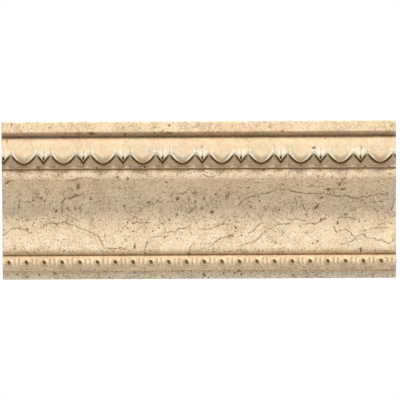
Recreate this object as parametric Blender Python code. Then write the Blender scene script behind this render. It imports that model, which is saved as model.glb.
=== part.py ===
"""Carved cornice moulding: egg and dart above a cove, bead and reel below.

One block of stone, cut square at both ends. Its flat back is the plane
y = 0, the carved face looks along -Y, X runs along the length and Z is up,
with the origin at the middle of the back. Sizes are in millimetres, as a
depth out from the back and a height above the foot.
"""

import math

import bmesh
import bpy
from mathutils import Vector

MM = 0.001

LENGTH = 305.0
HEIGHT = 122.0
DEPTH = 50.0
OVERRUN = 5.0

# Top fascia, the slanted soffit under it and the quirk.
FASCIA_FOOT = 114.3
ARRIS = 0.7
SOFFIT_DEPTH = 42.6
SOFFIT_FOOT = 110.3
QUIRK_DEPTH = 41.6

# Ovolo with its eggs and darts.
OVOLO_TOP = 109.1
OVOLO_TOP_DEPTH = 44.8
OVOLO_CROWN = 100.5
OVOLO_CROWN_DEPTH = 47.8
EGG_PITCH = 30.7
FIRST_EGG = 16.4
EGG_TIP = 88.7
EGG_HALF_WIDTH = 9.8
EGG_POWER = 1.7
PEAK = 96.7
DART_TIP = 90.6
DART_POWER = 0.85
TIP_DEPTH = 43.0
PEAK_DEPTH = 45.6
TIP_ROUNDING = 6.8
SIDE_ROUNDING = 2.6
ROUNDING_POWER = 1.9
VALLEY_DEPTH = 1.0
VALLEY_WIDTH = 1.5
VALLEY_TOP = 105.0
DART_PIT_DEPTH = 1.8
DART_PIT_HEIGHT = 93.9
DART_PIT_REACH = 1.7
UNDERCUT = 0.6
CUT_LINE_WIDTH = 0.9
CUT_LINE_DEPTH = 1.0
GROUND_TOP_DEPTH = 44.4
GROUND_FOOT_DEPTH = 39.6
GROUND_FOOT = 87.4
GROUND_POWER = 1.5

# Lip under the recessed ground, and the fillet above the cove.
LIP_DEPTH = 40.3
LIP_FOOT = 85.4
FILLET_DEPTH = 39.0
FILLET_TOP = 84.9
FILLET_FOOT = 79.4

# Cove, its upright foot and the roll under it.
COVE_TOP_DEPTH = 35.9
COVE_TOP = 76.3
COVE_FOOT_DEPTH = 17.5
COVE_FOOT = 34.0
COVE_STEPS = 12
ROLL_TOP = 24.6
ROLL_DEPTH = 3.0
ROLL_HEIGHT = 5.2
ROLL_STEPS = 4
LOWER_QUIRK_FOOT = 18.3

# Astragal with its beads and reels.
ASTRAGAL_CENTRE = 13.2
ASTRAGAL_HALF_HEIGHT = 4.65
ASTRAGAL_BASE_DEPTH = 15.8
ASTRAGAL_BULGE = 4.6
BEAD_PITCH = 13.727
FIRST_BEAD = 4.65
LAST_BEAD = 22
BEAD_CELL = 3.3
BEAD_SEGMENTS = 12
PATTERN_HALF_HEIGHT = 3.65
PATTERN_MIDDLE = 2.2
GROOVE_CENTRE = 5.2
GROOVE_HALF_WIDTH = 0.78
GROOVE_DEPTH = 1.1

# Thin fillet and the bottom fascia.
FOOT_FILLET_DEPTH = 16.8
FOOT_FILLET_FOOT = 6.9
FOOT_DEPTH = 12.5

STONE_COLOUR = (0.66, 0.53, 0.38, 1.0)
STONE_ROUGHNESS = 0.5
STONE_METALLIC = 0.0
SHARP_ANGLE = math.radians(35.0)
PLAIN_COLUMNS = 8
CUT_TOLERANCE = 1e-7

# How far along each unit the columns of the egg and dart stand, from an egg's centre line to the dart's.
EGG_COLUMNS = (0.0, 2.1, 4.1, 5.9, 7.5, 8.8, 9.8, 10.9, 12.3, 13.8, 15.35)
# Heights of the straight rows of the ovolo, and then shares of the way down to the edge of an egg or a dart.
OVOLO_ROWS = (OVOLO_TOP, 107.0, 104.5, 101.5)
EDGE_ROWS = (0.3, 0.58, 0.82, 1.0)
# Shares of the way down the ground behind them.
GROUND_ROWS = (0.0, 0.5, 1.0)
# Radius of each ring around a bead's centre, and how far it stands out from the plain astragal.
BEAD_RINGS = ((3.1, -0.5), (2.45, 0.55), (1.45, 0.75), (1.1, -1.5))
BEAD_HOLE_FLOOR = -1.8


def smooth_step(value):
    """Ease a value from 0 to 1, held outside that range."""
    held = min(max(value, 0.0), 1.0)
    return held * held * (3.0 - 2.0 * held)


def bump(distance, width):
    """Height of a round bump of the given width at a distance from its top."""
    return math.exp(-((distance / width) ** 2))


def unit_offset(x):
    """Distance along X from the nearest egg's centre line."""
    start = -LENGTH / 2 + FIRST_EGG
    return abs((x - start + EGG_PITCH / 2) % EGG_PITCH - EGG_PITCH / 2)


def edge_height(offset):
    """Height of the lower edge of the egg or the dart at this offset."""
    if offset <= EGG_HALF_WIDTH:
        return EGG_TIP + (PEAK - EGG_TIP) * (offset / EGG_HALF_WIDTH) ** EGG_POWER
    from_dart = (EGG_PITCH / 2 - offset) / (EGG_PITCH / 2 - EGG_HALF_WIDTH)
    return DART_TIP + (PEAK - DART_TIP) * max(from_dart, 0.0) ** DART_POWER


def ovolo_depth(height):
    """Depth of the plain ovolo, a quarter ellipse above its crown and upright below."""
    rise = max(height - OVOLO_CROWN, 0.0) / (OVOLO_TOP - OVOLO_CROWN)
    return OVOLO_CROWN_DEPTH - (OVOLO_CROWN_DEPTH - OVOLO_TOP_DEPTH) * rise**2.2


def carved_depth(offset, height):
    """Depth of the carved face at an offset along the unit and a height."""
    edge = edge_height(offset)
    step = 0.05
    slope = (edge_height(offset + step) - edge_height(abs(offset - step))) / (2 * step)
    distance = (height - edge) / math.sqrt(1.0 + slope * slope)
    rounding = TIP_ROUNDING + (SIDE_ROUNDING - TIP_ROUNDING) * smooth_step(offset / EGG_HALF_WIDTH)
    inward = 1.0 - min(distance / rounding, 1.0)
    edge_depth = TIP_DEPTH + (PEAK_DEPTH - TIP_DEPTH) * (edge - EGG_TIP) / (PEAK - EGG_TIP)
    body = edge_depth + (ovolo_depth(height) - edge_depth) * (1.0 - inward**ROUNDING_POWER)
    fade = smooth_step((VALLEY_TOP - height) / (VALLEY_TOP - PEAK))
    body -= VALLEY_DEPTH * bump(offset - EGG_HALF_WIDTH, VALLEY_WIDTH) * fade
    pit = bump(offset - EGG_PITCH / 2, 1.0) * bump(height - DART_PIT_HEIGHT, DART_PIT_REACH)
    return body - DART_PIT_DEPTH * pit


def ground_depth(height):
    """Depth of the hollow ground behind the eggs and darts."""
    rise = max(height - GROUND_FOOT, 0.0) / (PEAK - GROUND_FOOT)
    return GROUND_FOOT_DEPTH + (GROUND_TOP_DEPTH - GROUND_FOOT_DEPTH) * rise**GROUND_POWER


def astragal_depth(height):
    """Depth of the plain half-round astragal."""
    share = min(abs(height - ASTRAGAL_CENTRE) / ASTRAGAL_HALF_HEIGHT, 1.0)
    return ASTRAGAL_BASE_DEPTH + ASTRAGAL_BULGE * math.sqrt(1.0 - share * share)


def add_row(mesh, xs, depth_and_height):
    """Add a row of vertices at the given places along X and return them."""
    row = []
    for x in xs:
        depth, height = depth_and_height(x)
        row.append(mesh.verts.new(Vector((x, -depth, height - HEIGHT / 2)) * MM))
    return row


def join_rows(mesh, upper, lower):
    """Fill the strip between two rows, whose columns may differ."""
    if len(upper) == len(lower):
        for left in range(len(upper) - 1):
            mesh.faces.new((lower[left], lower[left + 1], upper[left + 1], upper[left]))
        return
    top = 0
    foot = 0
    while top < len(upper) - 1 or foot < len(lower) - 1:
        foot_is_done = foot == len(lower) - 1
        top_is_next = top < len(upper) - 1 and (
            foot_is_done or upper[top + 1].co.x <= lower[foot + 1].co.x
        )
        if top_is_next:
            mesh.faces.new((lower[foot], upper[top + 1], upper[top]))
            top += 1
        else:
            mesh.faces.new((lower[foot], lower[foot + 1], upper[top]))
            foot += 1


def plain_xs():
    """Places along X of the columns of a plain row."""
    reach = LENGTH / 2 + OVERRUN
    return [-reach + 2 * reach * column / (PLAIN_COLUMNS - 1) for column in range(PLAIN_COLUMNS)]


def add_profile(mesh, points):
    """Add one plain row for each (depth, height) point of a profile, joined in turn."""
    xs = plain_xs()
    rows = [add_row(mesh, xs, lambda x, point=point: point) for point in points]
    for upper, lower in zip(rows, rows[1:]):
        join_rows(mesh, upper, lower)
    return rows


def egg_xs():
    """Places along X of the columns of the egg and dart."""
    reach = LENGTH / 2 + OVERRUN
    start = -LENGTH / 2 + FIRST_EGG
    xs = set()
    for egg in range(-1, math.ceil(LENGTH / EGG_PITCH) + 1):
        centre = start + egg * EGG_PITCH
        for column in EGG_COLUMNS:
            xs.add(round(centre - column, 4))
            xs.add(round(centre + column, 4))
    return sorted(x for x in xs if abs(x) < reach)


def add_egg_and_dart(mesh):
    """Add the carved ovolo and the ground behind it, and return its first and last rows."""
    xs = egg_xs()

    def straight_point(x, height):
        if height == OVOLO_TOP:
            return OVOLO_TOP_DEPTH, height
        return carved_depth(unit_offset(x), height), height

    def edge_point(x, share):
        offset = unit_offset(x)
        height = OVOLO_ROWS[-1] + (edge_height(offset) - OVOLO_ROWS[-1]) * share
        return carved_depth(offset, height), height

    def cut_line_point(x):
        height = edge_height(unit_offset(x)) + UNDERCUT
        return ground_depth(height) - CUT_LINE_DEPTH, height

    def ground_point(x, share):
        top = edge_height(unit_offset(x)) - CUT_LINE_WIDTH
        height = top + (GROUND_FOOT - top) * share
        return ground_depth(height), height

    rows = [add_row(mesh, xs, lambda x, height=height: straight_point(x, height)) for height in OVOLO_ROWS]
    rows += [add_row(mesh, xs, lambda x, share=share: edge_point(x, share)) for share in EDGE_ROWS]
    rows.append(add_row(mesh, xs, cut_line_point))
    rows += [add_row(mesh, xs, lambda x, share=share: ground_point(x, share)) for share in GROUND_ROWS]
    for upper, lower in zip(rows, rows[1:]):
        join_rows(mesh, upper, lower)
    return rows[0], rows[-1]


def add_point(mesh, x, height, raised):
    """Add one vertex that stands out by raised from the plain astragal."""
    place = Vector((x, -astragal_depth(height) - raised, height - HEIGHT / 2))
    return mesh.verts.new(place * MM)


def add_bead(mesh, centre, ring):
    """Fill the cell around a bead, from the ring of its border inward to the drilled hole."""
    for radius, raised in BEAD_RINGS:
        inner = []
        for segment in range(BEAD_SEGMENTS):
            angle = 2 * math.pi * segment / BEAD_SEGMENTS
            height = ASTRAGAL_CENTRE + radius * math.sin(angle)
            inner.append(add_point(mesh, centre + radius * math.cos(angle), height, raised))
        for segment in range(BEAD_SEGMENTS):
            after = (segment + 1) % BEAD_SEGMENTS
            mesh.faces.new((ring[segment], ring[after], inner[after], inner[segment]))
        ring = inner
    floor = add_point(mesh, centre, ASTRAGAL_CENTRE, BEAD_HOLE_FLOOR)
    for segment in range(BEAD_SEGMENTS):
        mesh.faces.new((ring[segment], ring[(segment + 1) % BEAD_SEGMENTS], floor))


def add_reels(mesh, columns, heights):
    """Add the upright bars and grooves between two beads, as rows from the top down."""
    grid = []
    for row, height in enumerate(heights):
        is_border = row in (0, len(heights) - 1)
        points = [add_point(mesh, x, height, 0.0 if is_border else -groove) for x, groove in columns]
        grid.append(points)
    for upper, lower in zip(grid, grid[1:]):
        join_rows(mesh, upper, lower)
    return grid


def reel_columns(left_bead, right_bead):
    """Places and groove depths of the columns between two beads, left to right."""
    left_centre = left_bead + GROOVE_CENTRE
    right_centre = right_bead - GROOVE_CENTRE
    columns = [(left_bead + BEAD_CELL, 0.0)]
    for centre in (left_centre, right_centre):
        columns.append((centre - GROOVE_HALF_WIDTH, 0.0))
        columns.append((centre, GROOVE_DEPTH))
        columns.append((centre + GROOVE_HALF_WIDTH, 0.0))
    columns.append((right_bead - BEAD_CELL, 0.0))
    return columns


def add_bead_and_reel(mesh):
    """Add the carved middle of the astragal and return its first and last rows."""
    heights = [
        ASTRAGAL_CENTRE + share
        for share in (PATTERN_HALF_HEIGHT, PATTERN_MIDDLE, 0.0, -PATTERN_MIDDLE, -PATTERN_HALF_HEIGHT)
    ]
    start = -LENGTH / 2 + FIRST_BEAD
    centres = [start + BEAD_PITCH * bead for bead in range(LAST_BEAD + 1)]
    grids = []
    for right_bead in centres:
        columns = reel_columns(right_bead - BEAD_PITCH, right_bead)
        kept = [column for column in columns if column[0] > -LENGTH / 2 - OVERRUN]
        grids.append(add_reels(mesh, kept, heights))
    closing = [add_point(mesh, centres[-1] + BEAD_CELL, height, 0.0) for height in heights]
    grids.append([[point] for point in closing])
    top_row = list(grids[0][0])
    foot_row = list(grids[0][-1])
    for centre, left, right in zip(centres, grids, grids[1:]):
        top = add_point(mesh, centre, heights[0], 0.0)
        foot = add_point(mesh, centre, heights[-1], 0.0)
        left_edge = [row[-1] for row in left]
        right_edge = [row[0] for row in right]
        ring = [right_edge[2], right_edge[1], right_edge[0], top]
        ring += left_edge
        ring += [foot, right_edge[4], right_edge[3]]
        add_bead(mesh, centre, ring)
        top_row += [top] + right[0]
        foot_row += [foot] + right[-1]
    return top_row, foot_row


def curve(centre, radii, first, last, steps):
    """Points of part of an ellipse, from one angle to another in degrees, ends included."""
    points = []
    for step in range(steps + 1):
        angle = math.radians(first + (last - first) * step / steps)
        points.append((centre[0] + radii[0] * math.cos(angle), centre[1] + radii[1] * math.sin(angle)))
    return points


def upper_profile():
    """Profile from the back of the top down to the quirk over the ovolo."""
    return [
        (0.0, HEIGHT),
        (DEPTH - ARRIS, HEIGHT),
        (DEPTH, HEIGHT - ARRIS),
        (DEPTH, FASCIA_FOOT + ARRIS / 2),
        (DEPTH - ARRIS / 2, FASCIA_FOOT),
        ((DEPTH + SOFFIT_DEPTH) / 2 - ARRIS, (FASCIA_FOOT + SOFFIT_FOOT) / 2),
        (SOFFIT_DEPTH, SOFFIT_FOOT),
        (QUIRK_DEPTH, SOFFIT_FOOT - ARRIS / 2),
        (QUIRK_DEPTH, OVOLO_TOP + ARRIS / 2),
    ]


def middle_profile():
    """Profile from the lip under the eggs down through the cove to the quirk over the beads."""
    lip_middle = (GROUND_FOOT + LIP_FOOT) / 2
    points = [
        (LIP_DEPTH - ARRIS / 2, GROUND_FOOT - ARRIS / 2),
        (LIP_DEPTH, lip_middle),
        (LIP_DEPTH - ARRIS / 2, LIP_FOOT),
        (FILLET_DEPTH, FILLET_TOP),
    ]
    corner = (COVE_TOP_DEPTH, FILLET_FOOT)
    points += curve(corner, (FILLET_DEPTH - COVE_TOP_DEPTH, FILLET_FOOT - COVE_TOP), 0, -90, 4)
    centre = (COVE_TOP_DEPTH, COVE_FOOT)
    radii = (COVE_TOP_DEPTH - COVE_FOOT_DEPTH, COVE_TOP - COVE_FOOT)
    points += curve(centre, radii, 90, 180, COVE_STEPS)[1:]
    roll = (COVE_FOOT_DEPTH - ROLL_DEPTH, ROLL_TOP)
    points += curve(roll, (ROLL_DEPTH, ROLL_HEIGHT), 0, -80, ROLL_STEPS)
    points.append((COVE_FOOT_DEPTH - ROLL_DEPTH, LOWER_QUIRK_FOOT))
    points += astragal_flank(1.0)
    return points


def astragal_flank(side):
    """Plain rows of the astragal over (side 1) or under (side -1) its carved middle."""
    points = []
    for share in (1.0, 0.93):
        height = ASTRAGAL_CENTRE + side * share * ASTRAGAL_HALF_HEIGHT
        points.append((astragal_depth(height), height))
    return points if side > 0 else points[::-1]


def lower_profile():
    """Profile from under the beads down to the foot and to the back."""
    points = astragal_flank(-1.0)
    points += [
        (FOOT_FILLET_DEPTH - ARRIS / 2, ASTRAGAL_CENTRE - ASTRAGAL_HALF_HEIGHT - ARRIS / 3),
        (FOOT_FILLET_DEPTH, (ASTRAGAL_CENTRE - ASTRAGAL_HALF_HEIGHT + FOOT_FILLET_FOOT) / 2),
        (FOOT_FILLET_DEPTH - ARRIS / 2, FOOT_FILLET_FOOT),
        (FOOT_DEPTH, FOOT_FILLET_FOOT - ARRIS / 2),
        (FOOT_DEPTH, ARRIS),
        (FOOT_DEPTH - ARRIS, 0.0),
        (0.0, 0.0),
    ]
    return points


def cut_square(mesh, side):
    """Cut the overrun off one end with a flat face."""
    geometry = mesh.verts[:] + mesh.edges[:] + mesh.faces[:]
    result = bmesh.ops.bisect_plane(
        mesh,
        geom=geometry,
        dist=CUT_TOLERANCE,
        plane_co=Vector((side * LENGTH / 2, 0.0, 0.0)) * MM,
        plane_no=Vector((side, 0.0, 0.0)),
        clear_outer=True,
    )
    rim = [item for item in result["geom_cut"] if isinstance(item, bmesh.types.BMEdge)]
    bmesh.ops.edgeloop_fill(mesh, edges=rim)


def stone_material():
    """Warm beige, half-polished stone."""
    material = bpy.data.materials.new("beige_stone")
    material.use_nodes = True
    shader = material.node_tree.nodes["Principled BSDF"]
    shader.inputs["Base Color"].default_value = STONE_COLOUR
    shader.inputs["Roughness"].default_value = STONE_ROUGHNESS
    shader.inputs["Metallic"].default_value = STONE_METALLIC
    return material


def build_moulding():
    """Model the whole moulding as one closed piece of stone."""
    mesh = bmesh.new()
    upper = add_profile(mesh, upper_profile())
    ovolo_top, ground_foot = add_egg_and_dart(mesh)
    middle = add_profile(mesh, middle_profile())
    bead_top, bead_foot = add_bead_and_reel(mesh)
    lower = add_profile(mesh, lower_profile())
    join_rows(mesh, upper[-1], ovolo_top)
    join_rows(mesh, ground_foot, middle[0])
    join_rows(mesh, middle[-1], bead_top)
    join_rows(mesh, bead_foot, lower[0])
    join_rows(mesh, lower[-1], upper[0])
    for side in (-1.0, 1.0):
        cut_square(mesh, side)
    bmesh.ops.triangulate(mesh, faces=mesh.faces[:])
    bmesh.ops.recalc_face_normals(mesh, faces=mesh.faces[:])
    data = bpy.data.meshes.new("cornice_moulding")
    mesh.to_mesh(data)
    mesh.free()
    data.materials.append(stone_material())
    data.shade_smooth()
    data.set_sharp_from_angle(angle=SHARP_ANGLE)
    moulding = bpy.data.objects.new("cornice_moulding", data)
    bpy.context.scene.collection.objects.link(moulding)
    return moulding


def clear_scene():
    """Remove what the scene starts with."""
    for item in list(bpy.data.objects):
        bpy.data.objects.remove(item, do_unlink=True)


clear_scene()
build_moulding()
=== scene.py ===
import logging
import math
from dataclasses import dataclass
from dataclasses import field
from enum import Enum

import bpy
import numpy as np
from mathutils import Matrix
from mathutils import Vector


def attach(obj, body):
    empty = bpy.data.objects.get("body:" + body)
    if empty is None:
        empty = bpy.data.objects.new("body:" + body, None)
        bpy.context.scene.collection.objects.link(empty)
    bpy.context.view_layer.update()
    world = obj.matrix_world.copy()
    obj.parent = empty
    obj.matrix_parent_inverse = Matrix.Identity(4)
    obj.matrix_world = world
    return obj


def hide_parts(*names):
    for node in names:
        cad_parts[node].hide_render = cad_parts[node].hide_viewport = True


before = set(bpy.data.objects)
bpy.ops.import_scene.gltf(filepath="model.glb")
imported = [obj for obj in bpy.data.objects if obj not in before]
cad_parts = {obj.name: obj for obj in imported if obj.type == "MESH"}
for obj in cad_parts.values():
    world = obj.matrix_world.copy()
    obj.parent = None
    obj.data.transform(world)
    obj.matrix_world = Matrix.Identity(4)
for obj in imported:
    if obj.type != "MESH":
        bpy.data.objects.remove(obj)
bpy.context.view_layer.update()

LOG = logging.getLogger("cornice")
MM = 0.001
LENGTH = 305.0
HALF_LENGTH = LENGTH / 2
HEIGHT = 122.0
DEPTH = 50.0
END_ARRIS = 0.35
END_SINK = 0.3
BACK_CLEAR = 1.0

Array = np.ndarray
Socket = bpy.types.NodeSocket
Colour = tuple[float, float, float, float]
Pairs = tuple[tuple[float, float], ...]


def smooth_step(value: Array) -> Array:
    """Ease a value from 0 to 1, as 3 v squared less 2 v cubed, held outside that range.

    Args:
        value: Any numbers.

    Returns:
        The eased numbers, from 0 to 1.
    """
    held = np.clip(value, 0.0, 1.0)
    return held * held * (3.0 - 2.0 * held)


def bump(distance: Array, width: float) -> Array:
    """Round bump: e to the power of minus the square of distance over width.

    Args:
        distance: Distance from the top of the bump.
        width: Distance at which the bump has fallen to about a third.

    Returns:
        Heights from 0 to 1.
    """
    return np.exp(-((distance / width) ** 2))


def plateau(distance: Array, width: float) -> Array:
    """Flat-topped bump with steep sides: e to the power of minus distance over width, to the fourth.

    Args:
        distance: Distance from the middle.
        width: Half width.

    Returns:
        Heights from 0 to 1.
    """
    return np.exp(-((distance / width) ** 4))


def waver(x: Array, y: Array, wavelength: float, seed: int, waves: int = 14) -> Array:
    """Gentle unevenness: a mean of sine waves in random directions, with lengths around one wavelength.

    Args:
        x: First coordinate, in millimetres.
        y: Second coordinate, in millimetres.
        wavelength: Usual length of a wave, in millimetres.
        seed: Seed of the directions, lengths and phases.
        waves: Number of waves added up.

    Returns:
        Values mostly between -1 and 1.
    """
    rng = np.random.default_rng(seed)
    total = np.zeros(np.broadcast(x, y).shape)
    angles = rng.uniform(0.0, 2 * math.pi, waves)
    lengths = wavelength * rng.uniform(0.6, 1.7, waves)
    phases = rng.uniform(0.0, 2 * math.pi, waves)
    for angle, length, phase in zip(angles, lengths, phases):
        along = x * math.cos(angle) + y * math.sin(angle)
        total += np.sin(2 * math.pi * along / length + phase)
    return total / math.sqrt(waves)


@dataclass
class Band:
    """One band of the carved face, as a grid of points that runs from its upper to its lower edge.

    Args:
        x: Place along the length, rows by columns, in millimetres.
        depth: Distance out from the back.
        height: Distance above the foot.
        patina: How much brown dirt and painted shade lie there, from 0 to 1; the painted shade darkens
            recesses, undersides and places under overhangs.
        wear: How pale the stone is there, from 0 to 1, partly from wear and partly from painted highlights on
            edges that catch the light.
        speckle: How strongly the band is grained and speckled, 1 being usual.
    """

    x: Array
    depth: Array
    height: Array
    patina: Array
    wear: Array
    speckle: float = 1.0

    def sway(self, amount: float, wavelength: float, seed: int, where: Array | float = 1.0) -> None:
        """Let the face swell and sink a little, as hand work leaves it.

        Args:
            amount: Size of the swellings, in millimetres.
            wavelength: Usual distance from one to the next.
            seed: Seed of their places.
            where: Share of them that each point takes.
        """
        self.depth += amount * waver(self.x, self.height, wavelength, seed) * where

    def soften_ends(self) -> None:
        """Sink the outermost columns a little, off the back, so that the sawn edges are rounded."""
        for column in (0, -1):
            self.depth[:, column] -= np.where(self.depth[:, column] > BACK_CLEAR, END_SINK, 0.0)


def plain_columns(spacing: float) -> Array:
    """Places of even columns from end to end, with a narrow one at each end for its arris.

    Args:
        spacing: Distance between columns, in millimetres.

    Returns:
        Places along X.
    """
    inner = HALF_LENGTH - END_ARRIS
    count = round(2 * inner / spacing)
    return np.concatenate(([-HALF_LENGTH], np.linspace(-inner, inner, count + 1), [HALF_LENGTH]))


def unit_columns(pitch: float, start: float, stops: tuple[float, ...], steps: tuple[int, ...]) -> Array:
    """Places of columns that follow a repeated unit, cut off at both ends of the moulding.

    Within a unit the columns are even between one stop and the next.

    Args:
        pitch: Length of a unit, in millimetres.
        start: Place along X of the first unit's origin.
        stops: Offsets from the unit's origin, from 0 to the pitch.
        steps: Number of columns between each stop and the next.

    Returns:
        Places along X.
    """
    edges = np.concatenate(([0.0], np.cumsum(steps)))
    within = np.interp(np.arange(edges[-1]), edges, stops)
    units = np.arange(-2, math.ceil(LENGTH / pitch) + 2)
    places = (start + units[:, None] * pitch + within[None, :]).ravel()
    inner = HALF_LENGTH - END_ARRIS
    kept = places[np.abs(places) < inner - END_ARRIS / 2]
    return np.concatenate(([-HALF_LENGTH, -inner], kept, [inner, HALF_LENGTH]))


def drifted(xs: Array, table: Pairs) -> Array:
    """Shift places along the length by amounts read between the entries of a table, as carving by eye does.

    Args:
        xs: Places of the columns.
        table: (x, shift) of each entry, from left to right, 0 at both ends.

    Returns:
        The shifted places.
    """
    entries = np.array(table)
    return xs + np.interp(xs, entries[:, 0], entries[:, 1])


def profile_band(xs: Array, depth: Array, height: Array, patina: Array, wear: Array) -> Band:
    """Carry a profile straight along the length.

    Args:
        xs: Places of the columns.
        depth: Depth of each point of the profile.
        height: Height of each point.
        patina: Dirt and painted shade on each point.
        wear: Wear and painted highlight on each point.

    Returns:
        The band.
    """
    shape = (len(depth), len(xs))
    columns = (line[:, None] for line in (depth, height, patina, wear))
    return Band(*(np.broadcast_to(line, shape).copy() for line in (xs, *columns)))


def polyline(points: list[tuple[float, float, float, float]], spacing: float) -> tuple[Array, ...]:
    """Fill in a profile, so that no step is longer than a spacing.

    Args:
        points: (depth, height, patina, wear) of each corner, the last two being dirt with painted shade and
            wear with painted highlight.
        spacing: Longest step, in millimetres.

    Returns:
        Arrays of depth, height, patina and wear.
    """
    corners = np.array(points)
    lengths = np.hypot(np.diff(corners[:, 0]), np.diff(corners[:, 1]))
    steps = np.maximum(np.ceil(lengths / spacing).astype(int), 1)
    edges = np.concatenate(([0], np.cumsum(steps)))
    place = np.arange(edges[-1] + 1)
    return tuple(np.interp(place, edges, corners[:, column]) for column in range(4))


def elliptic(
    centre: tuple[float, float], radii: tuple[float, float], first: float, last: float, steps: int
) -> tuple[Array, Array]:
    """Part of an ellipse: centre plus radii times the cosine and sine of an even run of angles.

    Args:
        centre: (depth, height) of the centre.
        radii: Half axes along depth and height.
        first: First angle, in degrees.
        last: Last angle.
        steps: Number of steps between them.

    Returns:
        Arrays of depth and height.
    """
    angles = np.radians(np.linspace(first, last, steps + 1))
    return centre[0] + radii[0] * np.cos(angles), centre[1] + radii[1] * np.sin(angles)


@dataclass
class Fascia:
    """Plain top band, with the top face behind it and the slanted soffit and quirk under it."""

    foot: float = 113.85
    arris: float = 0.45
    soffit_break: tuple[float, float] = (48.6, 113.1)
    soffit_middle: tuple[float, float] = (46.7, 112.0)
    soffit_depth: float = 44.4
    soffit_foot: float = 110.6
    quirk_depth: float = 44.0
    quirk_foot: float = 109.8
    column_spacing: float = 0.95
    row_spacing: float = 1.3
    chip: float = 0.22
    chip_length: float = 7.0
    chip_detail: float = 2.2
    swell: float = 0.05
    swell_length: float = 28.0
    speckle: float = 0.75

    def build(self) -> Band:
        """Make the band, with its upper arris chipped and made pale by wear and painted highlight, and
        painted shade on the soffit and quirk.

        Returns:
            The band, from the back of the top face down to the quirk.
        """
        top = HEIGHT
        points = [
            (0.0, top, 0.0, 0.0),
            (0.6, top, 0.0, 0.0),
            (20.0, top, 0.0, 0.0),
            (44.0, top, 0.0, 0.0),
            # The pale values on the upper arris are wear with a painted highlight where the rounded edge
            # catches the light.
            (DEPTH - 1.0, top, 0.0, 0.2),
            (DEPTH - self.arris, top - 0.03, 0.0, 0.3),
            (DEPTH - self.arris * 0.3, top - self.arris * 0.3, 0.0, 0.35),
            (DEPTH - 0.03, top - self.arris, 0.0, 0.15),
            (DEPTH, top - 1.0, 0.0, 0.1),
            (DEPTH, top - 2.0, 0.0, 0.0),
            (DEPTH, self.foot + 1.0, 0.0, 0.0),
            # The pale values on the lower arris are wear with a painted highlight.
            (DEPTH, self.foot + 0.35, 0.0, 0.15),
            (DEPTH - 0.1, self.foot + 0.1, 0.0, 0.2),
            # From here down to the quirk the dirt values are painted shade under the fascia, darkest in the
            # middle of the soffit.
            (DEPTH - 0.35, self.foot - 0.05, 0.2, 0.0),
            (*self.soffit_break, 0.36, 0.0),
            (*self.soffit_middle, 0.57, 0.0),
            (self.soffit_depth, self.soffit_foot, 0.26, 0.0),
            (self.quirk_depth, self.soffit_foot - 0.3, 0.22, 0.0),
            (self.quirk_depth, self.quirk_foot, 0.26, 0.0),
        ]
        lines = polyline(points, self.row_spacing)
        kept = (lines[0] > DEPTH - 3.0) | (np.arange(len(lines[0])) % 4 == 0) | (lines[1] < HEIGHT - 0.01)
        kept[0] = True
        band = profile_band(plain_columns(self.column_spacing), *(line[kept] for line in lines))
        near_arris = bump(band.height - (HEIGHT - 0.2), 0.7) * (band.depth > DEPTH - 2.0)
        coarse = waver(band.x, band.height, self.chip_length, 3)
        fine = waver(band.x, band.height, self.chip_detail, 4)
        loss = np.maximum(coarse + 0.5 * fine - 0.2, 0.0)
        band.depth -= self.chip * loss * near_arris
        band.height -= 0.6 * self.chip * loss * near_arris * (band.height > HEIGHT - 1.0)
        band.sway(self.swell, self.swell_length, 5, (band.depth > 40.0) & (band.height < HEIGHT - 0.5))
        np.clip(band.depth, 0.0, DEPTH, out=band.depth)
        band.speckle = self.speckle
        band.soften_ends()
        return band


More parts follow.
